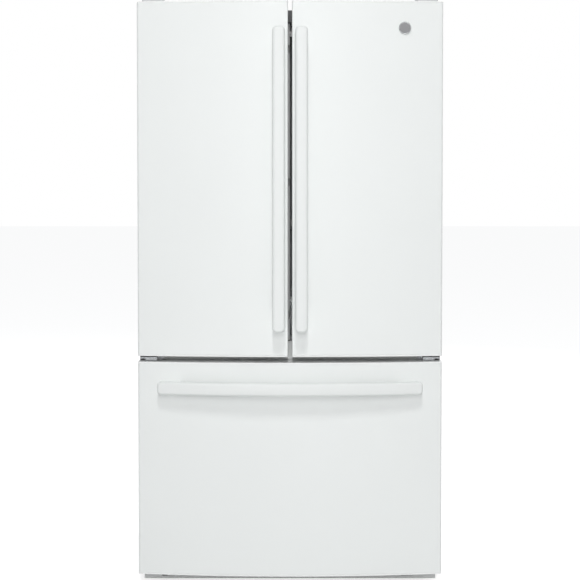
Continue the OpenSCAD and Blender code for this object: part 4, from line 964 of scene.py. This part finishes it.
# ---------- crispers and wide drawer ----------
# White plates clipped to the sides of the tub carry two clear crispers over one wide drawer. Each
# is a deep moulded pan with a pull lip along its front.
from_cad("crisper_plates", "crisper_frame", shelf_white, "cabinet", "liner_plastic", edge=0.001)
lip_d, lip_in, lip_h = 0.012, 0.020, 0.013
grip_t, grip_drop = 0.002, 0.0065
front_way = Vector((0, -1, 0))
for node in ("crisper_left", "crisper_right", "deli_drawer"):
    lo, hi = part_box(node)
    pan_lo = lo + Vector((0, lip_d, 0))
    form = tub(pan_lo, hi, corner=0.012, draft=0.0035, rim=(0.003, 0.003), skirt=0.005, front=front_way)
    fit(node + "_pan", form, clear_plastic, node, "clear_plastic", node, sheet=bin_t)
    grip = bmesh.new()
    top = hi.z - grip_drop
    line = [grip.verts.new((lo.x + lip_in, lo.y + y, top - z)) for y, z in
            ((lip_d + 0.002, 0), (0.004, 0), (0.0012, 0.0012), (0, 0.004), (0, lip_h))]
    bar = [grip.edges.new(pair) for pair in zip(line, line[1:])]
    far_end = drawn(bmesh.ops.extrude_edge_only(grip, edges=bar))
    bmesh.ops.translate(grip, verts=far_end, vec=(hi.x - lo.x - 2 * lip_in, 0, 0))
    fit(node + "_grip", grip, clear_plastic, node, "clear_plastic", node, sheet=grip_t)

# ---------- freezer slides and baskets ----------
# Rolled steel slides in three members carry the drawer front on a welded frame. A deep basket
# hangs in the frame, and a shallow one with the ice bucket slides on its runners.
for node, body in (("fixed_rails", "cabinet"), ("middle_rails", "slide_middles"),
                   ("drawer_frame", "freezer_drawer")):
    from_cad(node + "_steel", node, plated, body, "hinge_steel", edge=0.0006)
basket_plastic = surface("basket_plastic", moulded, (0.93, 0.95, 0.96), 0.22, 0.0015, 0.00003,
                         Transmission_Weight=0.70, IOR=1.49, Alpha=0.8)
lo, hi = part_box("lower_basket")
form = tub(lo, hi, corner=0.020, draft=0.006, rim=(0.011, 0.003), skirt=0.0001, front=front_way,
           floor_r=0.012)
fit("deep_basket", form, basket_plastic, "freezer_drawer", "clear_plastic", "lower_basket", sheet=bin_t)
lo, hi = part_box("upper_basket")
form = tub(lo, hi, corner=0.014, draft=0, rim=(0.003, 0.003), skirt=0.005, front=front_way, floor_r=0.003)
fit("shallow_basket", form, basket_plastic, "upper_basket", "clear_plastic", "upper_basket", sheet=bin_t)
bucket_w = 0.230
bucket_lo = lo + Vector((0.012, 0.008, 0.003))
bucket_hi = Vector((bucket_lo.x + bucket_w, hi.y - 0.008, hi.z - 0.006))
form = tub(bucket_lo, bucket_hi, corner=0.014, draft=0.003, rim=(0.004, 0.004), skirt=0.006,
           front=front_way)
fit("ice_bucket", form, shelf_white, "upper_basket", "liner_plastic", "upper_basket", sheet=bin_t)

# ---------- cooling coil, fan and ice maker ----------
# An aluminium coil stands behind a moulded cover, with a fan that blows through its round grille.
# The ice maker is a cast mould with a motor box and a rake that sweeps the ice out.
from_cad("coil_cover", "freezer_back", liner_white, "cabinet", "liner_plastic", edge=0.0012)
aluminium = surface("aluminium", rolled, (0.70, 0.71, 0.72), 0.34, 0.006, 0.00003, Metallic=1.0)
from_cad("cooling_coil", "evaporator", aluminium, "cabinet", "fin_aluminium", edge=0)
fan_grey = surface("fan_grey", moulded, (0.42, 0.43, 0.44), 0.42, 0.001, 0.00003)
for node in ("evaporator_fan", "condenser_fan"):
    from_cad(node + "_blades", node, fan_grey, node, "grey_plastic", edge=0.0004)
ice_grey = surface("ice_grey", moulded, (0.60, 0.62, 0.63), 0.40, 0.001, 0.00004)
from_cad("ice_mould", "ice_maker", ice_grey, "cabinet", "grey_plastic", edge=0.0012)
from_cad("ice_fingers", "ice_rake", shelf_white, "ice_rake", "grey_plastic", edge=0.0006)

# ---------- machine room ----------
# The black compressor stands on rubber feet beside the wire condenser and its fan. Copper pipes
# join them to the coil, and a pan under the condenser catches the defrost water.
pump_black = surface("pump_black", enamel, (0.018, 0.018, 0.02), 0.30, 0.002, 0.00006)
rubber_black = surface("rubber_black", vinyl, (0.03, 0.03, 0.03), 0.75, 0.001, 0.00008)
pump_foot_z = case_lo.z + 0.0188
from_cad("compressor_can", "compressor", pump_black, "cabinet", "pump_black",
         (rubber_black, lambda middle, normal: middle.z < pump_foot_z), edge=0.001)
shroud_x = -0.059
coil_x = -0.100
wire_grey = surface("wire_grey", enamel, (0.05, 0.052, 0.055), 0.45, 0.002, 0.00006)
from_cad("condenser_coil", "condenser", wire_grey, "cabinet", "dark_steel", edge=0,
         keep=lambda lo, hi: hi.x < coil_x)
from_cad("fan_shroud", "condenser", fan_grey, "cabinet", "grey_plastic", edge=0.0006,
         keep=lambda lo, hi: coil_x < hi.x < shroud_x)
from_cad("fan_motor", "condenser", plated, "cabinet", "hinge_steel", edge=0.0008,
         keep=lambda lo, hi: hi.x > shroud_x)
lo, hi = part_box("drain_pan")
form = tub(lo, hi, corner=0.010, draft=0.002, rim=(0.002, 0.002), skirt=0.002, floor_r=0.003)
fit("defrost_pan", form, nylon_black, "cabinet", "roller_nylon", "drain_pan", sheet=0.002)
copper = surface("copper", rolled, (0.72, 0.36, 0.22), 0.28, 0.02, 0.00002, Metallic=1.0)
valve_x, inlet_x = 0.330, 0.385
from_cad("copper_pipes", "refrigerant_lines", copper, "cabinet", "copper", edge=0,
         keep=lambda lo, hi: hi.x < valve_x)
from_cad("water_valve", "refrigerant_lines", shelf_white, "cabinet", "liner_plastic", edge=0.001,
         keep=lambda lo, hi: valve_x < hi.x < inlet_x)
from_cad("cord_inlet", "refrigerant_lines", dark_plastic, "cabinet", "grey_plastic", edge=0.0005,
         keep=lambda lo, hi: hi.x > inlet_x)
